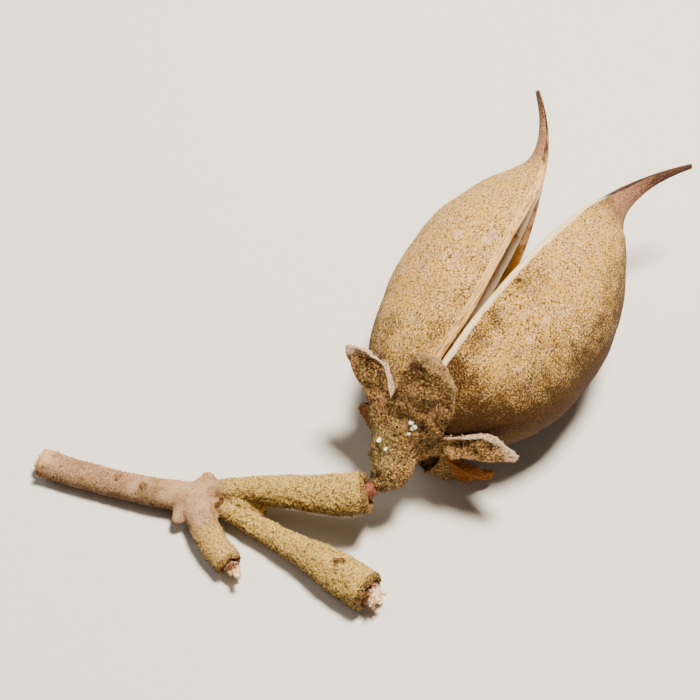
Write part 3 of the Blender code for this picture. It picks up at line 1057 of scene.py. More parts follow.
@dataclass
class Calyx:
    """Thick woolly cup with five lobes."""

    cup_outside: Sequence[Row] = (
        (-7.0, 1.0),
        (-6.8, 1.6),
        (-6.2, 2.0),
        (-5.4, 2.25),
        (-4.5, 2.4),
        (-3.6, 2.6),
        (-2.7, 3.0),
        (-1.8, 3.55),
        (-0.9, 4.3),
        (0.0, 5.15),
    )
    cup_inside: Sequence[Row] = ((0.1, 4.5), (-1.0, 3.6), (-2.0, 2.75), (-2.9, 1.7), (-3.1, 0.8))
    bend: tuple[float, float] = (-1.0, 2.7)
    depth: float = 7.0
    root: float = 4.95
    gap: float = 0.4
    wall: float = 1.0
    width: float = 0.95
    notch: float = 0.06
    columns: int = 38
    rows: int = 34
    margin_turn: Sequence[tuple[float, float]] = (
        (0.955, 0.92),
        (0.985, 0.55),
        (1.0, 0.0),
        (0.985, -0.55),
        (0.955, -0.92),
    )
    inner_rings: int = 12
    wart_size: float = 1.7
    # The first dark mark is painted shade in a lobe's hollow.
    dark_marks: Marks = (((7.5, -14.6, 18.0), 1.7, 0.9), ((0.9, -11.4, 14.3), 1.3, 0.6))
    green_marks: Marks = (((3.2, -20.1, 9.1), 3.4, 0.5), ((1.5, -17.5, 10.0), 2.6, 0.5))
    lobes: Sequence[Lobe] = (
        Lobe(16.0, 92.0, -17.0, 0.06, (10.2, 5.15), 0.65, 0.2, 0.0, 0.35, (4.0, 0.45), 0.35, 0.2),
        Lobe(82.0, 42.0, -5.0, 0.1, (13.2, 3.4), 0.3, 2.6, 0.3, 0.35, (2.2, 0.5), 0.8, 0.0),
        Lobe(138.0, 74.0, -17.0, -0.2, (12.1, 3.2), 0.7, 0.6, 1.7, 0.3, (2.0, 0.6), 0.0, 1.0),
        Lobe(214.0, 86.0, 3.0, 0.0, (10.3, 1.0), 0.3, 0.6, 0.4, 0.3, (2.4, 0.6), 0.0, 0.7),
        Lobe(295.0, 76.0, 3.0, 0.0, (11.5, 2.5), 0.3, 2.8, 0.1, 0.35, (2.4, 0.5), 0.9, 0.0),
    )

    def lobe_columns(self) -> list[tuple[Lobe, float]]:
        """Every lobe and share of its half width round the calyx, in order."""
        shares = [2 * k / (self.columns - 1) - 1 for k in range(self.columns)]
        return [(lobe, share) for lobe in self.lobes for share in shares]

    def cup_ring(self, height: float, radius: float, ribbed: float) -> list[Vector]:
        """Ring of the cup, square to its bent axis, with a low rib under every lobe.

        Args:
            height: where the ring stands, 0 at the cup's rim and negative below it.
            radius: its radius.
            ribbed: share of the ribs' height that shows.

        Returns:
            The ring's points in the pod frame.
        """
        drop = min(0.0, height) / -self.depth
        centre = Vector((self.bend[0] * drop**2, self.bend[1] * drop**2, height))
        slope = -2 * drop / self.depth
        heading = Vector((self.bend[0] * slope, self.bend[1] * slope, 1.0))
        turn = Vector((0.0, 0.0, 1.0)).rotation_difference(heading)
        ring = []
        for lobe, share in self.lobe_columns():
            angle = math.radians(lobe.azimuth + self.width * lobe.span / 2 * share)
            ray = turn @ Vector((math.cos(angle), math.sin(angle), 0.0))
            rib = lobe.rib * (1 - abs(share)) * smooth_step(1 - drop)
            ring.append(centre + ray * (radius + rib * ribbed))
        return ring

    def pod_radius(self, angle: float, height: float) -> float:
        """Radius of the closed pod near its foot.

        Args:
            angle: angle from the seam, in radians.
            height: place along the pod.

        Returns:
            The radius at that place.
        """
        outline = RIGHT_OUTLINE if math.sin(angle) > 0 else LEFT_OUTLINE
        depth, half_height = along_curve(outline, height)
        depth += CLEARANCE / 2
        return 1 / math.hypot(math.cos(angle) / half_height, math.sin(angle) / depth)

    def lobe_point(self, lobe: Lobe, share: float, level: float, layer: float) -> Vector:
        """A point of a lobe.

        Args:
            lobe: the lobe.
            share: place across it, -1 to 1.
            level: 0 at the notch to 1 at the margin.
            layer: 1 on its outer face, 0 on its margin, -1 on its inner face.

        Returns:
            The point in the pod frame.
        """
        power, root = lobe.margin
        margin = max(0.0, 1 - abs(share) ** power) ** root
        rise = level * (self.notch + (1 - self.notch) * margin)
        reach = Vector((lobe.tip[0] - self.root, lobe.tip[1]))
        outward = Vector((reach.y, -reach.x)).normalized()
        bowed = outward * lobe.bow * math.sin(math.pi * rise)
        point = Vector((self.root, 0.0)) + reach * rise + bowed
        swell = max(0.0, 4 * rise * (1 - rise)) ** 0.6
        fold = lobe.keel * (0.1 - abs(share)) * swell + lobe.rib * (1 - abs(share)) * (1 - rise)
        hollow = lobe.hollow * math.sin(math.pi * abs(share)) * math.sin(math.pi * level)
        offset = fold + layer * self.wall / 2
        if layer > 0:
            offset -= hollow
        radius, height = point + outward * offset
        half_width = math.radians(lobe.span / 2) * self.root * self.width * (1 + lobe.flare * rise)
        angle = math.radians(lobe.azimuth + lobe.twist * rise) + share * half_width / point.x
        least = self.pod_radius(angle, height) + self.gap + self.wall * 0.4 * (1 + layer)
        radius = max(radius, least)
        return Vector((radius * math.cos(angle), radius * math.sin(angle), height))

    def build(self) -> bpy.types.Object:
        """Makes the calyx's mesh with its warts and thick rims.

        Returns:
            The object, with no materials yet.
        """
        skin = Skin("calyx_body")
        placing = pod_placing()
        rings: list[list[int]] = []

        def add_ring(
            points: Sequence[Vector], shade: float, glow: float = 0.0, bare: float = 0.0
        ) -> None:
            """Adds a ring of the cup or of the lobes with its tints."""
            ring = []
            for p, (lobe, _) in zip(points, self.lobe_columns()):
                tones = {"shade": shade, "glow": glow * lobe.pale, "bare": bare * lobe.amber}
                ring.append(skin.add_point(placing @ p, **tones))
            rings.append(ring)

        cup_steps = 4 * (len(self.cup_outside) - 1)
        for k in range(cup_steps):
            share = k / cup_steps
            height, radius = self.cup_profile(self.cup_outside, share)
            # Painted shade on the outside of the cup, strongest at its foot.
            add_ring(self.cup_ring(height, radius, 1.0), 0.45 - 0.25 * share)
        levels = [0.02 + 0.9 * row / self.rows for row in range(self.rows + 1)]
        passes = [(level, 1.0) for level in levels]
        passes += self.margin_turn
        passes += [(level, -1.0) for level in levels[::-2]]
        for level, layer in passes:
            columns = self.lobe_columns()
            points = [self.lobe_point(lobe, share, level, layer) for lobe, share in columns]
            # Painted shade on the lobes' inner faces, which face the pod; the outer faces take up
            # to half as much, rising from the notch, and the margins turn pale.
            edge = ramp(level, 0.74, 0.93)
            hollow = 0.5 * ramp(level, 0.1, 0.4) if layer > 0 else 0.8
            add_ring(points, hollow * (1 - edge), 0.85 * edge, ramp(level, 0.25, 0.6))
        for k in range(self.inner_rings):
            height, radius = self.cup_profile(self.cup_inside, k / (self.inner_rings - 1))
            # Painted shade inside the cup, between it and the pod.
            add_ring(self.cup_ring(height, radius, 0.0), 0.9)
        skin.close_rings(rings)
        obj = skin.to_object()
        self.add_relief(obj.data)
        return obj

    def cup_profile(self, profile: Sequence[Row], share: float) -> tuple[float, float]:
        """Height and radius part of the way along a profile."""
        rows = [(k, *row) for k, row in enumerate(profile)]
        height, radius = along_curve(rows, share * (len(profile) - 1))
        return height, radius

    def add_relief(self, mesh: bpy.types.Mesh) -> None:
        """Raises warts and woolly clumps, and paints shade into the pits between them."""
        places = drawing_points(mesh)
        hidden = ramp_array(get_values(mesh, "shade"), 0.7, 0.9)
        warts = 0.42 * noise_at(places, self.wart_size) + 0.16 * noise_at(places, 0.8, 5.0)
        clumps = 0.16 * beads_at(places, 0.75, 2.0) + 0.08 * beads_at(places, 0.42, 6.0)
        raise_surface(mesh, (warts + clumps - 0.2) * (1 - hidden))
        shade = np.maximum(get_values(mesh, "shade"), marked(places, self.dark_marks))
        # Painted shade in the pits between the clumps.
        set_values(mesh, "shade", np.maximum(shade, (0.38 - 2.6 * clumps) * (1 - hidden)))
        set_values(mesh, "tip", marked(places, self.green_marks))


def path_frames(path: Path, step: float) -> list[tuple[Vector, Vector, float]]:
    """Walks along a smooth curve through a path.

    Args:
        path: points with the radius at each.
        step: distance between stations, at most.

    Returns:
        Point, heading and radius of each station.
    """
    rows = []
    travelled = 0.0
    for i, (point, radius) in enumerate(path):
        if i:
            travelled += (Vector(point) - Vector(path[i - 1][0])).length
        rows.append((travelled, *point, radius))
    steps = max(3, math.ceil(travelled / step))
    stations = [along_curve(rows, travelled * i / steps) for i in range(steps + 1)]
    points = [Vector(s[:3]) for s in stations]
    frames = []
    for i, point in enumerate(points):
        ahead = points[min(i + 1, steps)] - points[max(i - 1, 0)]
        frames.append((point, ahead.normalized(), stations[i][3]))
    return frames


def ring_round(centre: Vector, heading: Vector, radius: float, sides: int) -> list[Vector]:
    """Ring of points square to a heading.

    Args:
        centre: its middle.
        heading: the direction that it is square to.
        radius: its radius.
        sides: how many points it has.

    Returns:
        The points, in order round the heading.
    """
    side = heading.cross(Vector((0.0, 0.0, 1.0))).normalized()
    up = side.cross(heading)
    angles = [2 * math.pi * i / sides for i in range(sides)]
    return [centre + (side * math.cos(a) + up * math.sin(a)) * radius for a in angles]


STEM_PATH: Path = (
    ((-17.0, -21.9, 2.3), 1.7),
    ((-20.1, -21.4, 2.1), 1.75),
    ((-24.0, -20.6, 1.95), 1.65),
    ((-29.6, -19.0, 1.75), 1.62),
    ((-35.8, -16.95, 1.77), 1.68),
)
BRANCH_HELD_PATH: Path = (
    ((-18.5, -21.4, 2.3), 1.2),
    ((-15.0, -21.2, 2.9), 1.25),
    ((-11.5, -21.5, 3.6), 1.5),
    ((-6.3, -22.6, 4.9), 1.95),
    ((-0.6, -23.7, 6.2), 2.4),
    ((1.7, -23.6, 6.7), 2.4),
)
BRANCH_LONG_PATH: Path = (
    ((-18.6, -21.7, 2.2), 1.2),
    ((-15.2, -22.9, 2.1), 1.15),
    ((-12.6, -24.3, 1.95), 1.2),
    ((-10.0, -25.8, 1.85), 1.3),
    ((-7.3, -27.6, 1.95), 1.5),
    ((-4.8, -29.1, 2.15), 1.8),
    ((-1.7, -31.4, 2.37), 2.3),
    ((1.9, -34.0, 2.48), 2.4),
)
BRANCH_SHORT_PATH: Path = (
    ((-18.4, -21.9, 2.2), 1.5),
    ((-17.1, -24.6, 2.05), 1.75),
    ((-15.8, -27.3, 1.9), 1.7),
    ((-13.8, -30.1, 1.85), 1.7),
)
BUD_PATH: Path = (((-17.2, -21.0, 2.6), 1.5), ((-16.15, -19.75, 3.5), 0.75))
NUB_PATH: Path = (((-19.0, -22.4, 2.1), 1.2), ((-19.9, -24.6, 1.7), 0.7))
SCAR_PATH: Path = (((-13.2, -22.2, 2.7), 1.2), ((-10.2, -23.3, 2.0), 0.9))
NECK_PATH: Path = (((0.8, -23.7, 6.55), 1.1), ((1.8, -23.5, 6.75), 1.0), ((2.8, -23.15, 6.95), 0.8))
SOCKET_DEPTH = 1.4
SOCKET_SHARE = 0.68


@dataclass
class Stalk:
    """Forked stalk: a stem, three branches, a bud and two scars, grown together.

    Each branch has its path, how woolly it is and how much painted shade its hollow torn end takes,
    partly the end's own darker bark.
    """

    branches: Sequence[tuple[Path, float, float]] = (
        (STEM_PATH, 0.0, 0.0),
        (BRANCH_HELD_PATH, 1.0, 0.9),
        (BRANCH_LONG_PATH, 1.0, 1.0),
        (BRANCH_SHORT_PATH, 0.75, 0.8),
    )
    snags: Sequence[Path] = (BUD_PATH, NUB_PATH, SCAR_PATH)
    torn_lip: Sequence[tuple[float, float]] = ((0.2, 0.96), (0.38, 0.86))
    round_tip: Sequence[tuple[float, float]] = ((0.35, 0.85), (0.6, 0.45))
    sides: int = 40
    step: float = 0.5
    voxel: float = 0.17
    smoothing: int = 3
    rag: float = 0.45
    wool_zone: tuple[float, float] = (2.5, 6.0)
    end_zone: tuple[float, float] = (0.7, -0.3)
    batch: int = 4000
    marks: Marks = (
        ((-23.9, -21.0, 3.6), 0.8, 0.7),
        ((-26.8, -19.6, 3.5), 0.7, 0.6),
        ((-1.1, -31.3, 4.7), 1.0, 0.9),
        ((-15.3, -23.3, 3.2), 0.5, 1.2),
        ((-14.9, -22.8, 3.2), 0.5, 1.2),
    )
    pale_marks: Marks = (
        ((-18.9, -22.0, 3.8), 4.5, 0.5),
        ((-35.4, -17.0, 3.0), 1.4, 0.9),
    )

    def tube(self, skin: Skin, path: Path, socket: bool) -> None:
        """Adds a closed tapered branch.

        Args:
            skin: what it is added to.
            path: its middle line and radii.
            socket: whether its far end is torn and hollowed out, not rounded.
        """
        frames = path_frames(path, self.step)
        rings = [ring_round(p, h, r, self.sides) for p, h, r in frames]
        point, heading, radius = frames[0]
        root = point - heading * radius * 0.5
        rings.insert(0, ring_round(root, heading, radius * 0.6, self.sides))
        point, heading, radius = frames[-1]
        if socket:
            inner = radius * SOCKET_SHARE
            ends = [(proud, radius * share) for proud, share in self.torn_lip]
            ends += [(0.3, inner * 1.08), (0.0, inner)]
            for proud, wide in ends:
                ring = ring_round(point + heading * proud, heading, wide, self.sides)
                rings.append([self.ragged(p, heading, proud > 0) for p in ring])
            rings.append(ring_round(point - heading * SOCKET_DEPTH, heading, inner, self.sides))
        else:
            for proud, share in self.round_tip:
                place = point + heading * radius * proud
                rings.append(ring_round(place, heading, radius * share, self.sides))
        indexed = [[skin.add_point(p) for p in ring] for ring in rings]
        skin.close_rings(indexed)

    def ragged(self, point: Vector, heading: Vector, torn: bool) -> Vector:
        """Moves a point of a torn end in or out along the branch."""
        return point + heading * (self.rag * noise.noise(point / 0.9) * torn)

    def build(self) -> bpy.types.Object:
        """Makes the stalk as one skin with its granular relief.

        Returns:
            The object, with no materials yet.
        """
        skin = Skin("stalk_bark")
        for path, _, _ in self.branches:
            self.tube(skin, path, True)
        for path in self.snags:
            self.tube(skin, path, False)
        rough = skin.to_object()
        remesh = rough.modifiers.new("one_skin", "REMESH")
        remesh.mode = "VOXEL"
        remesh.voxel_size = self.voxel * MM
        smooth = rough.modifiers.new("soft_joints", "SMOOTH")
        smooth.iterations = self.smoothing
        smooth.factor = 0.5
        obj = settled(rough, "stalk_bark")
        obj.data.shade_smooth()
        self.add_relief(obj.data)
        return obj

    def add_relief(self, mesh: bpy.types.Mesh) -> None:
        """Raises wool grains on the branches and low wrinkles on the stem, and sets the tints,
        painted shade among them.

        Args:
            mesh: the stalk's mesh.
        """
        places = drawing_points(mesh)
        wool, end = self.wool_and_end(places)
        grains = 0.12 * beads_at(places, 0.46, 1.0) + 0.09 * beads_at(places, 0.3, 4.0)
        lumps = 0.14 * noise_at(places, 1.6) + 0.07 * noise_at(places, 0.7, 9.0)
        raise_surface(mesh, wool * (grains - 0.1) + lumps * (0.5 + 0.5 * wool))
        # Painted shade in the pits between the wool's grains.
        pits = wool * (0.75 - 5.0 * grains)
        set_values(mesh, "glow", wool)
        set_values(mesh, "bare", marked(places, self.pale_marks))
        # Painted shade on the side away from the light, partly the stalk's own darker olive
        # underside.
        facing = normals_of(mesh) @ np.array(LIGHT_FOR_PAINTED_SHADE)
        away = 0.75 * (1.0 - ramp_array(facing, -0.3, 0.5))
        dark = [end, marked(places, self.marks), pits, away]
        set_values(mesh, "shade", np.maximum.reduce(dark))

    def wool_and_end(self, places: np.ndarray) -> tuple[np.ndarray, np.ndarray]:
        """How woolly each place is, and how much painted shade it takes from a hollow torn end near
        it, partly that end's own darker bark.

        Args:
            places: places in the drawing frame, one row each.

        Returns:
            Two arrays of 0 to 1, read at the nearest station of a branch.
        """
        rows = []
        for path, woolly, end_shade in self.branches:
            frames = path_frames(path, self.step)
            length = self.step * (len(frames) - 1)
            for i, (point, _, _) in enumerate(frames):
                gone = self.step * i
                # Painted shade in the hollow torn end, partly its own darker torn bark.
                end = end_shade * ramp(length - gone, *self.end_zone)
                rows.append((*point, woolly * ramp(gone, *self.wool_zone), end))
        table = np.array(rows)
        nearest = []
        for start in range(0, len(places), self.batch):
            part = places[start : start + self.batch]
            nearest.append(((part[:, None, :] - table[None, :, :3]) ** 2).sum(2).argmin(1))
        found = table[np.concatenate(nearest)]
        return found[:, 3], found[:, 4]


@dataclass
class Neck:
    """Bare fibrous tissue between the held branch and the calyx."""

    sides: int = 48
    step: float = 0.08
    groove: float = 0.09

    def build(self) -> bpy.types.Object:
        """Makes the neck with grooves along it.

        Returns:
            The object, with no material yet.
        """
        skin = Skin("neck_fibre")
        rings = []
        for point, heading, radius in path_frames(NECK_PATH, self.step):
            ring = []
            for i, p in enumerate(ring_round(point, heading, radius, self.sides)):
                ray = (p - point).normalized()
                depth = self.groove * noise.noise(Vector((i * 0.9, 2.0, point.x * 0.4)))
                ring.append(skin.add_point(p + ray * depth))
            rings.append(ring)
        skin.close_rings(rings)
        return skin.to_object()


HALF_TURN = 3.14


class Tree:
    """A Geometry Nodes tree with named inputs, which scatters copies over a mesh."""

    def __init__(self, name: str, inputs: Sequence[tuple[str, str, Any]]) -> None:
        """Makes the tree.

        Args:
            name: the tree's name.
            inputs: name, socket type and value of each input after the geometry.
        """
        self.tree = bpy.data.node_groups.new(name, "GeometryNodeTree")
        face = self.tree.interface
        face.new_socket("Geometry", in_out="INPUT", socket_type="NodeSocketGeometry")
        self.keys: dict[str, str] = {}
        for label, kind, value in inputs:
            socket = face.new_socket(label, in_out="INPUT", socket_type=kind)
            self.keys[label] = socket.identifier
            if value is not None:
                socket.default_value = value
        face.new_socket("Geometry", in_out="OUTPUT", socket_type="NodeSocketGeometry")
        self.source = add_node(self.tree, "NodeGroupInput").outputs

    def scatter(self, shape: bpy.types.NodeSocket, upright: bool) -> None:
        """Places a shape on the mesh, where the attribute density lets it, and ends the tree.

        Args:
            shape: the geometry of one copy.
            upright: copies stand along the surface's normal, within the input Tilt.
        """
        tree, source = self.tree, self.source
        named = {"Name": "density"}
        share = add_node(tree, "GeometryNodeInputNamedAttribute", named, data_type="FLOAT")
        places = {
            "Mesh": source["Geometry"],
            "Distance Min": source["Spacing"],
            "Density Max": source["Density"],
            "Density Factor": share.outputs[0],
            "Seed": source["Seed"],
        }
        kind = {"distribute_method": "POISSON"}
        spread = add_node(tree, "GeometryNodeDistributePointsOnFaces", places, **kind).outputs
        least, most = (-1.0, -1.0, -HALF_TURN), (1.0, 1.0, HALF_TURN)
        kind = {"data_type": "FLOAT_VECTOR"}
        drawn = {0: least, 1: most, "Seed": source["Seed"]}
        random_turn = add_node(tree, "FunctionNodeRandomValue", drawn, **kind).outputs[0]
        scaled = {0: random_turn, 1: source["Tilt"]}
        turn = add_node(tree, "ShaderNodeVectorMath", scaled, operation="MULTIPLY").outputs[0]
        if upright:
            local = {"Rotation": spread["Rotation"], "Rotate By": turn}
            kind_of_turn = {"rotation_space": "LOCAL"}
            turn = add_node(tree, "FunctionNodeRotateRotation", local, **kind_of_turn).outputs[0]
        drawn = {0: source["Smallest"], 1: source["Largest"], "Seed": source["Seed"]}
        size = add_node(tree, "FunctionNodeRandomValue", drawn, **kind).outputs[0]
        stood = {"Points": spread["Points"], "Instance": shape, "Rotation": turn, "Scale": size}
        copies = add_node(tree, "GeometryNodeInstanceOnPoints", stood).outputs[0]
        real = add_node(tree, "GeometryNodeRealizeInstances", {"Geometry": copies}).outputs[0]
        skin = {"Geometry": real, "Material": source["Material"]}
        dressed = add_node(tree, "GeometryNodeSetMaterial", skin).outputs[0]
        add_node(tree, "NodeGroupOutput", {"Geometry": dressed})

    def grow(self, name: str, base: bpy.types.Object, **values: Any) -> bpy.types.Object:
        """Runs the tree on a base and returns its result as a plain mesh.

        Args:
            name: name of the new piece.
            base: the object that the copies stand on, left unchanged.
            **values: values for the tree's inputs, by name.

        Returns:
            The new piece.
        """
        holder = linked(name + "_holder", base.data)
        modifier = holder.modifiers.new("scatter", "NODES")
        modifier.node_group = self.tree
        for label, value in values.items():
            modifier[self.keys[label]] = value
        return settled(holder, name)


# What a scatter takes after the mesh: distances in metres, density per square metre, the tilt
# that scales the random turn, and the range of sizes of a copy.
SCATTER_INPUTS: Sequence[tuple[str, str, Any]] = (
    ("Spacing", "NodeSocketFloat", 0.0005),
    ("Density", "NodeSocketFloat", 4.0e6),
    ("Seed", "NodeSocketInt", 1),
    ("Tilt", "NodeSocketVector", (1.0, 1.0, 1.0)),
    ("Smallest", "NodeSocketVector", (1.0, 1.0, 1.0)),
    ("Largest", "NodeSocketVector", (1.0, 1.0, 1.0)),
    ("Material", "NodeSocketMaterial", None),
)


# How the wool's grains and hairs are scattered.
GRAIN_SPREAD: dict[str, Any] = {
    "Density": 6.0e6,
    "Seed": 11,
    "Tilt": (3.0, 3.0, 1.0),
    "Smallest": (0.7, 0.7, 0.6),
    "Largest": (1.9, 1.7, 1.5),
}
HAIR_SPREAD: dict[str, Any] = {
    "Density": 1.6e7,
    "Seed": 23,
    "Tilt": (0.7, 0.7, 1.0),
    "Smallest": (0.8, 0.8, 0.5),
    "Largest": (1.4, 1.4, 1.3),
}


@dataclass
class Wool:
    """Grains and short hairs that stand on the calyx and on the branches."""

    grain_radius: float = 0.1
    calyx_gap: float = 0.55
    stalk_gap: float = 0.45
    hair_radius: float = 0.022
    hair_length: float = 0.36
    hair_gap: float = 0.3

    def grain_tree(self) -> Tree:
        """Tree that scatters lumpy grains."""
        made = Tree("scatter_grains", SCATTER_INPUTS)
        size = {"Radius": self.grain_radius * MM, "Subdivisions": 1}
        ball = add_node(made.tree, "GeometryNodeMeshIcoSphere", size).outputs["Mesh"]
        smooth = add_node(made.tree, "GeometryNodeSetShadeSmooth", {"Geometry": ball}).outputs[0]
        made.scatter(smooth, upright=False)
        return made

    def hair_tree(self) -> Tree:
        """Tree that scatters short tapered hairs."""
        made = Tree("scatter_hairs", SCATTER_INPUTS)
        size = {"Vertices": 3, "Radius Top": 0.0, "Radius Bottom": self.hair_radius * MM}
        size["Depth"] = self.hair_length * MM
        hair = add_node(made.tree, "GeometryNodeMeshCone", size).outputs["Mesh"]
        made.scatter(hair, upright=True)
        return made

    def build(self, calyx: bpy.types.Object, stalk: bpy.types.Object) -> list[bpy.types.Object]:
        """Grows the grains and hairs on both pieces.

        Args:
            calyx: the dressed calyx.
            stalk: the dressed stalk.

        Returns:
            The four new pieces.
        """
        glow = get_values(calyx.data, "glow")
        hidden = get_values(calyx.data, "shade") > 0.55
        set_values(calyx.data, "density", np.where(hidden, 0.0, 1.0 - 0.5 * glow))
        set_values(stalk.data, "density", 0.25 + 0.75 * get_values(stalk.data, "glow"))
        grains, hairs = self.grain_tree(), self.hair_tree()
        made = []
        for base, slot, gap in ((calyx, "calyx", self.calyx_gap), (stalk, "bark", self.stalk_gap)):
            skin = base.data.materials[0]
            for tree, kind, spacing, spread in (
                (grains, "grains", gap, GRAIN_SPREAD),
                (hairs, "hairs", self.hair_gap, HAIR_SPREAD),
            ):
                name = f"{base.name.split('_')[0]}_{kind}"
                piece = tree.grow(name, base, Spacing=spacing * MM, Material=skin, **spread)
                made.append(dress(piece, slot, skin))
        return made


@dataclass
class TornWood:
    """Broken plugs of wood with short splinters, in the sockets of the torn ends.

    Each end has its solid's name, its branch, how far it stands out and a seed.
    """

    ends: Sequence[tuple[str, Path, float, int]] = (
        ("wood_core_stem", STEM_PATH, 0.8, 4),
        ("wood_core_short", BRANCH_SHORT_PATH, 1.5, 5),
        ("wood_core_long", BRANCH_LONG_PATH, 1.5, 8),
    )
    sides: int = 30
    step: float = 1.5
    slack: float = 0.6
    tops: Sequence[tuple[float, float]] = ((0.35, 0.97), (0.6, 0.9), (0.85, 0.7), (0.95, 0.35))
    jag: float = 0.6
    chip: tuple[float, float, float] = (0.7, 0.45, 1.6)
    gap: float = 0.85
    facing: float = 0.55

    def core(self, name: str, path: Path, proud: float, seed: int) -> bpy.types.Object:
        """Makes the broken plug of wood that the splinters stand on.

        Args:
            name: name of the solid that it stands for.
            path: the branch whose end it fills.
            proud: how far it stands out.
            seed: steers how its top is broken.

        Returns:
            The plug, with painted shade round its side and no material yet.
        """
        skin = Skin(name + "_plug")
        point, heading, radius = path_frames(path, self.step)[-1]
        inner = radius * SOCKET_SHARE - CLEARANCE * self.slack
        levels = [(CLEARANCE - SOCKET_DEPTH, 1.0), (0.0, 1.0)]
        levels += [(proud * height, share) for height, share in self.tops]
        rings = []
        for level, share in levels:
            ring = []
            # Painted shade round the plug's side, in the gap to the socket.
            dark = ramp(share, 0.72, 0.95)
            circle = ring_round(point + heading * level, heading, inner * share, self.sides)
            for i, p in enumerate(circle):
                broken = noise.noise(Vector((i * 0.35, seed * 3.1, share * 2.0))) * (level > 0)
                jagged = p + heading * (self.jag * proud * broken)
                ring.append(skin.add_point(jagged, shade=dark))
            rings.append(ring)
        skin.close_rings(rings)
        return skin.to_object()

    def splinter_tree(self) -> Tree:
        """Tree that stands square chips on a plug."""
        made = Tree("stand_splinters", SCATTER_INPUTS)
        size = {"Size": tuple(side * MM for side in self.chip)}
        chip = add_node(made.tree, "GeometryNodeMeshCube", size).outputs["Mesh"]
        made.scatter(chip, upright=True)
        return made

    def build(self) -> list[bpy.types.Object]:
        """Makes and dresses the three torn ends.

        Returns:
            A plug and its splinters for each end.
        """
        finish = TORN_WOOD.material()
        tree = self.splinter_tree()
        made = []
        for name, path, proud, seed in self.ends:
            plug = self.core(name, path, proud, seed)
            _, heading, _ = path_frames(path, self.step)[-1]
            top = normals_of(plug.data) @ np.array(heading) > self.facing
            set_values(plug.data, "density", top.astype(float))
            splinters = tree.grow(
                name + "_splinters",
                plug,
                Spacing=self.gap * MM,
                Density=1.0e7,
                Seed=seed,
                Tilt=(0.3, 0.3, 1.0),
                Smallest=(0.6, 0.5, 0.3 * proud),
                Largest=(1.2, 0.9, 0.75 * proud),
                Material=finish,
            )
            dress(plug, "torn_wood", finish)
            dress(splinters, "torn_wood", finish)
            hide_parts(name)
            made += [plug, splinters]
        return made


@dataclass
class Crystals:
    """White crystalline beads on the calyx: x and y in the picture, and radius, of each."""

    beads: Sequence[tuple[float, float, float]] = (
        (411.0, 422.0, 0.36),
        (412.5, 428.0, 0.4),
        (408.0, 434.0, 0.2),
        (379.5, 440.0, 0.36),
        (386.0, 450.0, 0.24),
    )
    lumps: int = 4
    rings: int = 7
    sides: int = 10

    def build(self, studio: "Studio", calyx: bpy.types.Object) -> bpy.types.Object:
        """Places a cluster of small lumps where each bead shows.

        Args:
            studio: turns a pixel into a ray.
            calyx: the surface that carries the beads.

        Returns:
            The dressed piece.
        """
        skin = Skin("calyx_crystals")
        mesh = calyx.data
        corners = [face.vertices for face in mesh.polygons]
        surface = BVHTree.FromPolygons([v.co for v in mesh.vertices], corners)
        for k, (x, y, radius) in enumerate(self.beads):
            origin, ray = studio.ray(x, y)
            centre = surface.ray_cast(origin, ray)[0] / MM + MIDDLE
            for lump in range(self.lumps):
                seed = Vector((k * 5.3, lump * 2.7, 1.0))
                drawn = [noise.noise(seed + Vector((0, 0, 7.0 * axis))) for axis in range(3)]
                shift = Vector(drawn) * radius * 1.2
                self.lump(skin, centre + shift, radius * (0.75 - 0.12 * lump), seed)
        obj = skin.to_object()
        return dress(obj, "calyx", CRYSTAL_WHITE.material())

    def lump(self, skin: Skin, centre: Vector, radius: float, seed: Vector) -> None:
        """Adds one uneven bead.

        Args:
            skin: what it is added to.
            centre: its middle.
            radius: its mean radius.
            seed: steers its bumps.
        """
        rings = []
        for i in range(1, self.rings):
            polar = math.pi * i / self.rings
            ring = []
            for j in range(self.sides):
                turn = 2 * math.pi * j / self.sides
                out = math.sin(polar)
                ray = Vector((out * math.cos(turn), out * math.sin(turn), -math.cos(polar)))
                bumpy = 1 + 0.35 * noise.noise(ray * 1.6 + seed)
                ring.append(skin.add_point(centre + ray * radius * bumpy))
            rings.append(ring)
        skin.close_rings(rings)


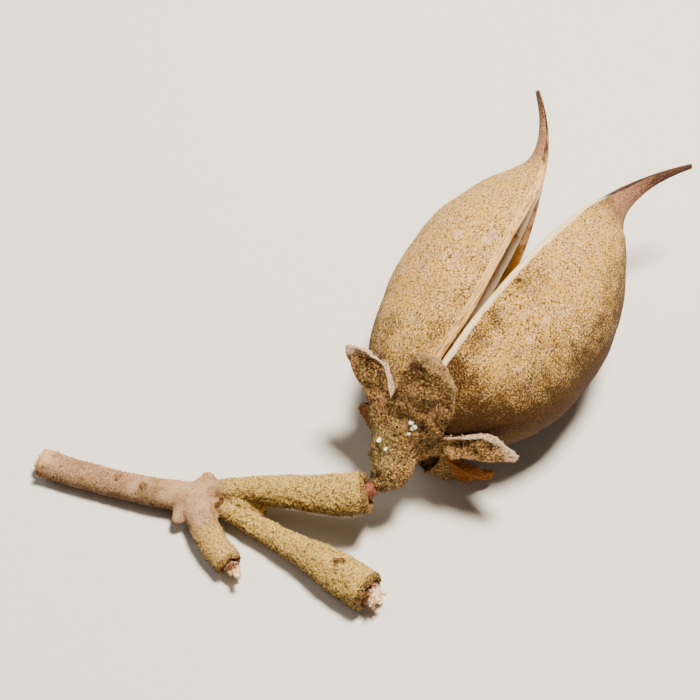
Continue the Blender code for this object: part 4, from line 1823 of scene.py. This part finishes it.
@dataclass
class Studio:
    """Plain pale floor, soft light and the camera at the photograph's angle."""

    floor_half: float = 3.0
    floor_colour: str = "#dcd8d0"
    air_colour: str = "#e8e6e2"
    air_strength: float = 0.08
    lights: Sequence[tuple[str, tuple[float, float, float], float, float, str]] = (
        ("key", (0.12, 0.10, 0.54), 0.12, 11.0, "#fff3e2"),
        ("fill", (0.35, -0.35, 0.40), 0.6, 0.25, "#fff6ea"),
        ("side", (-0.40, 0.15, 0.35), 0.3, 0.8, "#fff6ea"),
    )

    def back(self) -> Vector:
        """Direction from the drawing frame's origin to the camera."""
        tilt = math.radians(CAMERA_ELEVATION)
        return Vector((0.0, -math.cos(tilt), math.sin(tilt)))

    def ray(self, x: float, y: float) -> tuple[Vector, Vector]:
        """Ray through a pixel of the photograph's frame.

        Args:
            x: pixels from the left.
            y: pixels from the top.

        Returns:
            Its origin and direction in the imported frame.
        """
        focal = CAMERA_LENS / CAMERA_SENSOR * IMAGE_SIDE
        right = Vector((1.0, 0.0, 0.0))
        up = self.back().cross(right)
        across, above = (x - IMAGE_SIDE / 2) / focal, (IMAGE_SIDE / 2 - y) / focal
        origin = (self.back() * CAMERA_DISTANCE - MIDDLE) * MM
        return origin, (right * across + up * above - self.back()).normalized()

    def build(self) -> None:
        """Makes the floor, the lights, the world and the camera."""
        self.add_floor()
        for light in self.lights:
            self.add_light(*light)
        world = bpy.data.worlds.new("studio_air")
        world.use_nodes = True
        sky = world.node_tree.nodes["Background"]
        sky.inputs["Color"].default_value = linear(self.air_colour)
        sky.inputs["Strength"].default_value = self.air_strength
        bpy.context.scene.world = world
        self.add_camera()

    def add_floor(self) -> None:
        """Adds the floor under the piece."""
        half = self.floor_half
        mesh = bpy.data.meshes.new("floor")
        corners = [(-half, -half, 0), (half, -half, 0), (half, half, 0), (-half, half, 0)]
        mesh.from_pydata(corners, [], [(0, 1, 2, 3)])
        floor = linked("floor", mesh)
        paper = bpy.data.materials.new("pale_paper")
        paper.use_nodes = True
        shader = paper.node_tree.nodes["Principled BSDF"]
        shader.inputs["Base Color"].default_value = linear(self.floor_colour)
        shader.inputs["Roughness"].default_value = 0.95
        shader.inputs["Specular IOR Level"].default_value = 0.1
        mesh.materials.append(paper)

    def add_light(
        self, name: str, place: tuple[float, float, float], side: float, power: float, colour: str
    ) -> None:
        """Adds a square area light that faces the piece.

        Args:
            name: its name.
            place: where it stands, in metres.
            side: the length of its side, in metres.
            power: its power in watts.
            colour: its sRGB hex colour.
        """
        lamp = bpy.data.lights.new(name, "AREA")
        lamp.size = side
        lamp.energy = power
        lamp.color = linear(colour)[:3]
        obj = linked(name, lamp)
        obj.location = place
        obj.rotation_mode = "QUATERNION"
        obj.rotation_quaternion = (-Vector(place)).to_track_quat("-Z", "Y")

    def add_camera(self) -> None:
        """Adds the camera."""
        data = bpy.data.cameras.new("camera")
        data.lens = CAMERA_LENS
        data.sensor_width = CAMERA_SENSOR
        data.clip_start = 0.01
        data.clip_end = 10.0
        camera = linked("camera", data)
        camera.location = (self.back() * CAMERA_DISTANCE - MIDDLE) * MM
        camera.rotation_euler = (math.radians(90.0 - CAMERA_ELEVATION), 0.0, 0.0)
        bpy.context.scene.camera = camera


def main() -> None:
    """Builds every part of the object in order and reports each piece."""
    logging.basicConfig(level=logging.INFO, format="%(name)s: %(message)s")
    studio = Studio()
    studio.build()
    made = Capsule().build()
    bodies = {}
    for name, slot, maker, finish in (
        ("calyx", "calyx", Calyx(), CALYX_WOOL),
        ("stalk", "bark", Stalk(), STALK_BARK),
        ("neck", "neck", Neck(), NECK_TISSUE),
    ):
        bodies[name] = dress(maker.build(), slot, finish.material())
        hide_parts(name)
        made.append(bodies[name])
    made += Wool().build(bodies["calyx"], bodies["stalk"])
    made += TornWood().build()
    made.append(Crystals().build(studio, bodies["calyx"]))
    for piece in made:
        log.info("%s has %d faces", piece.name, len(piece.data.polygons))


if __name__ == "__main__":
    main()
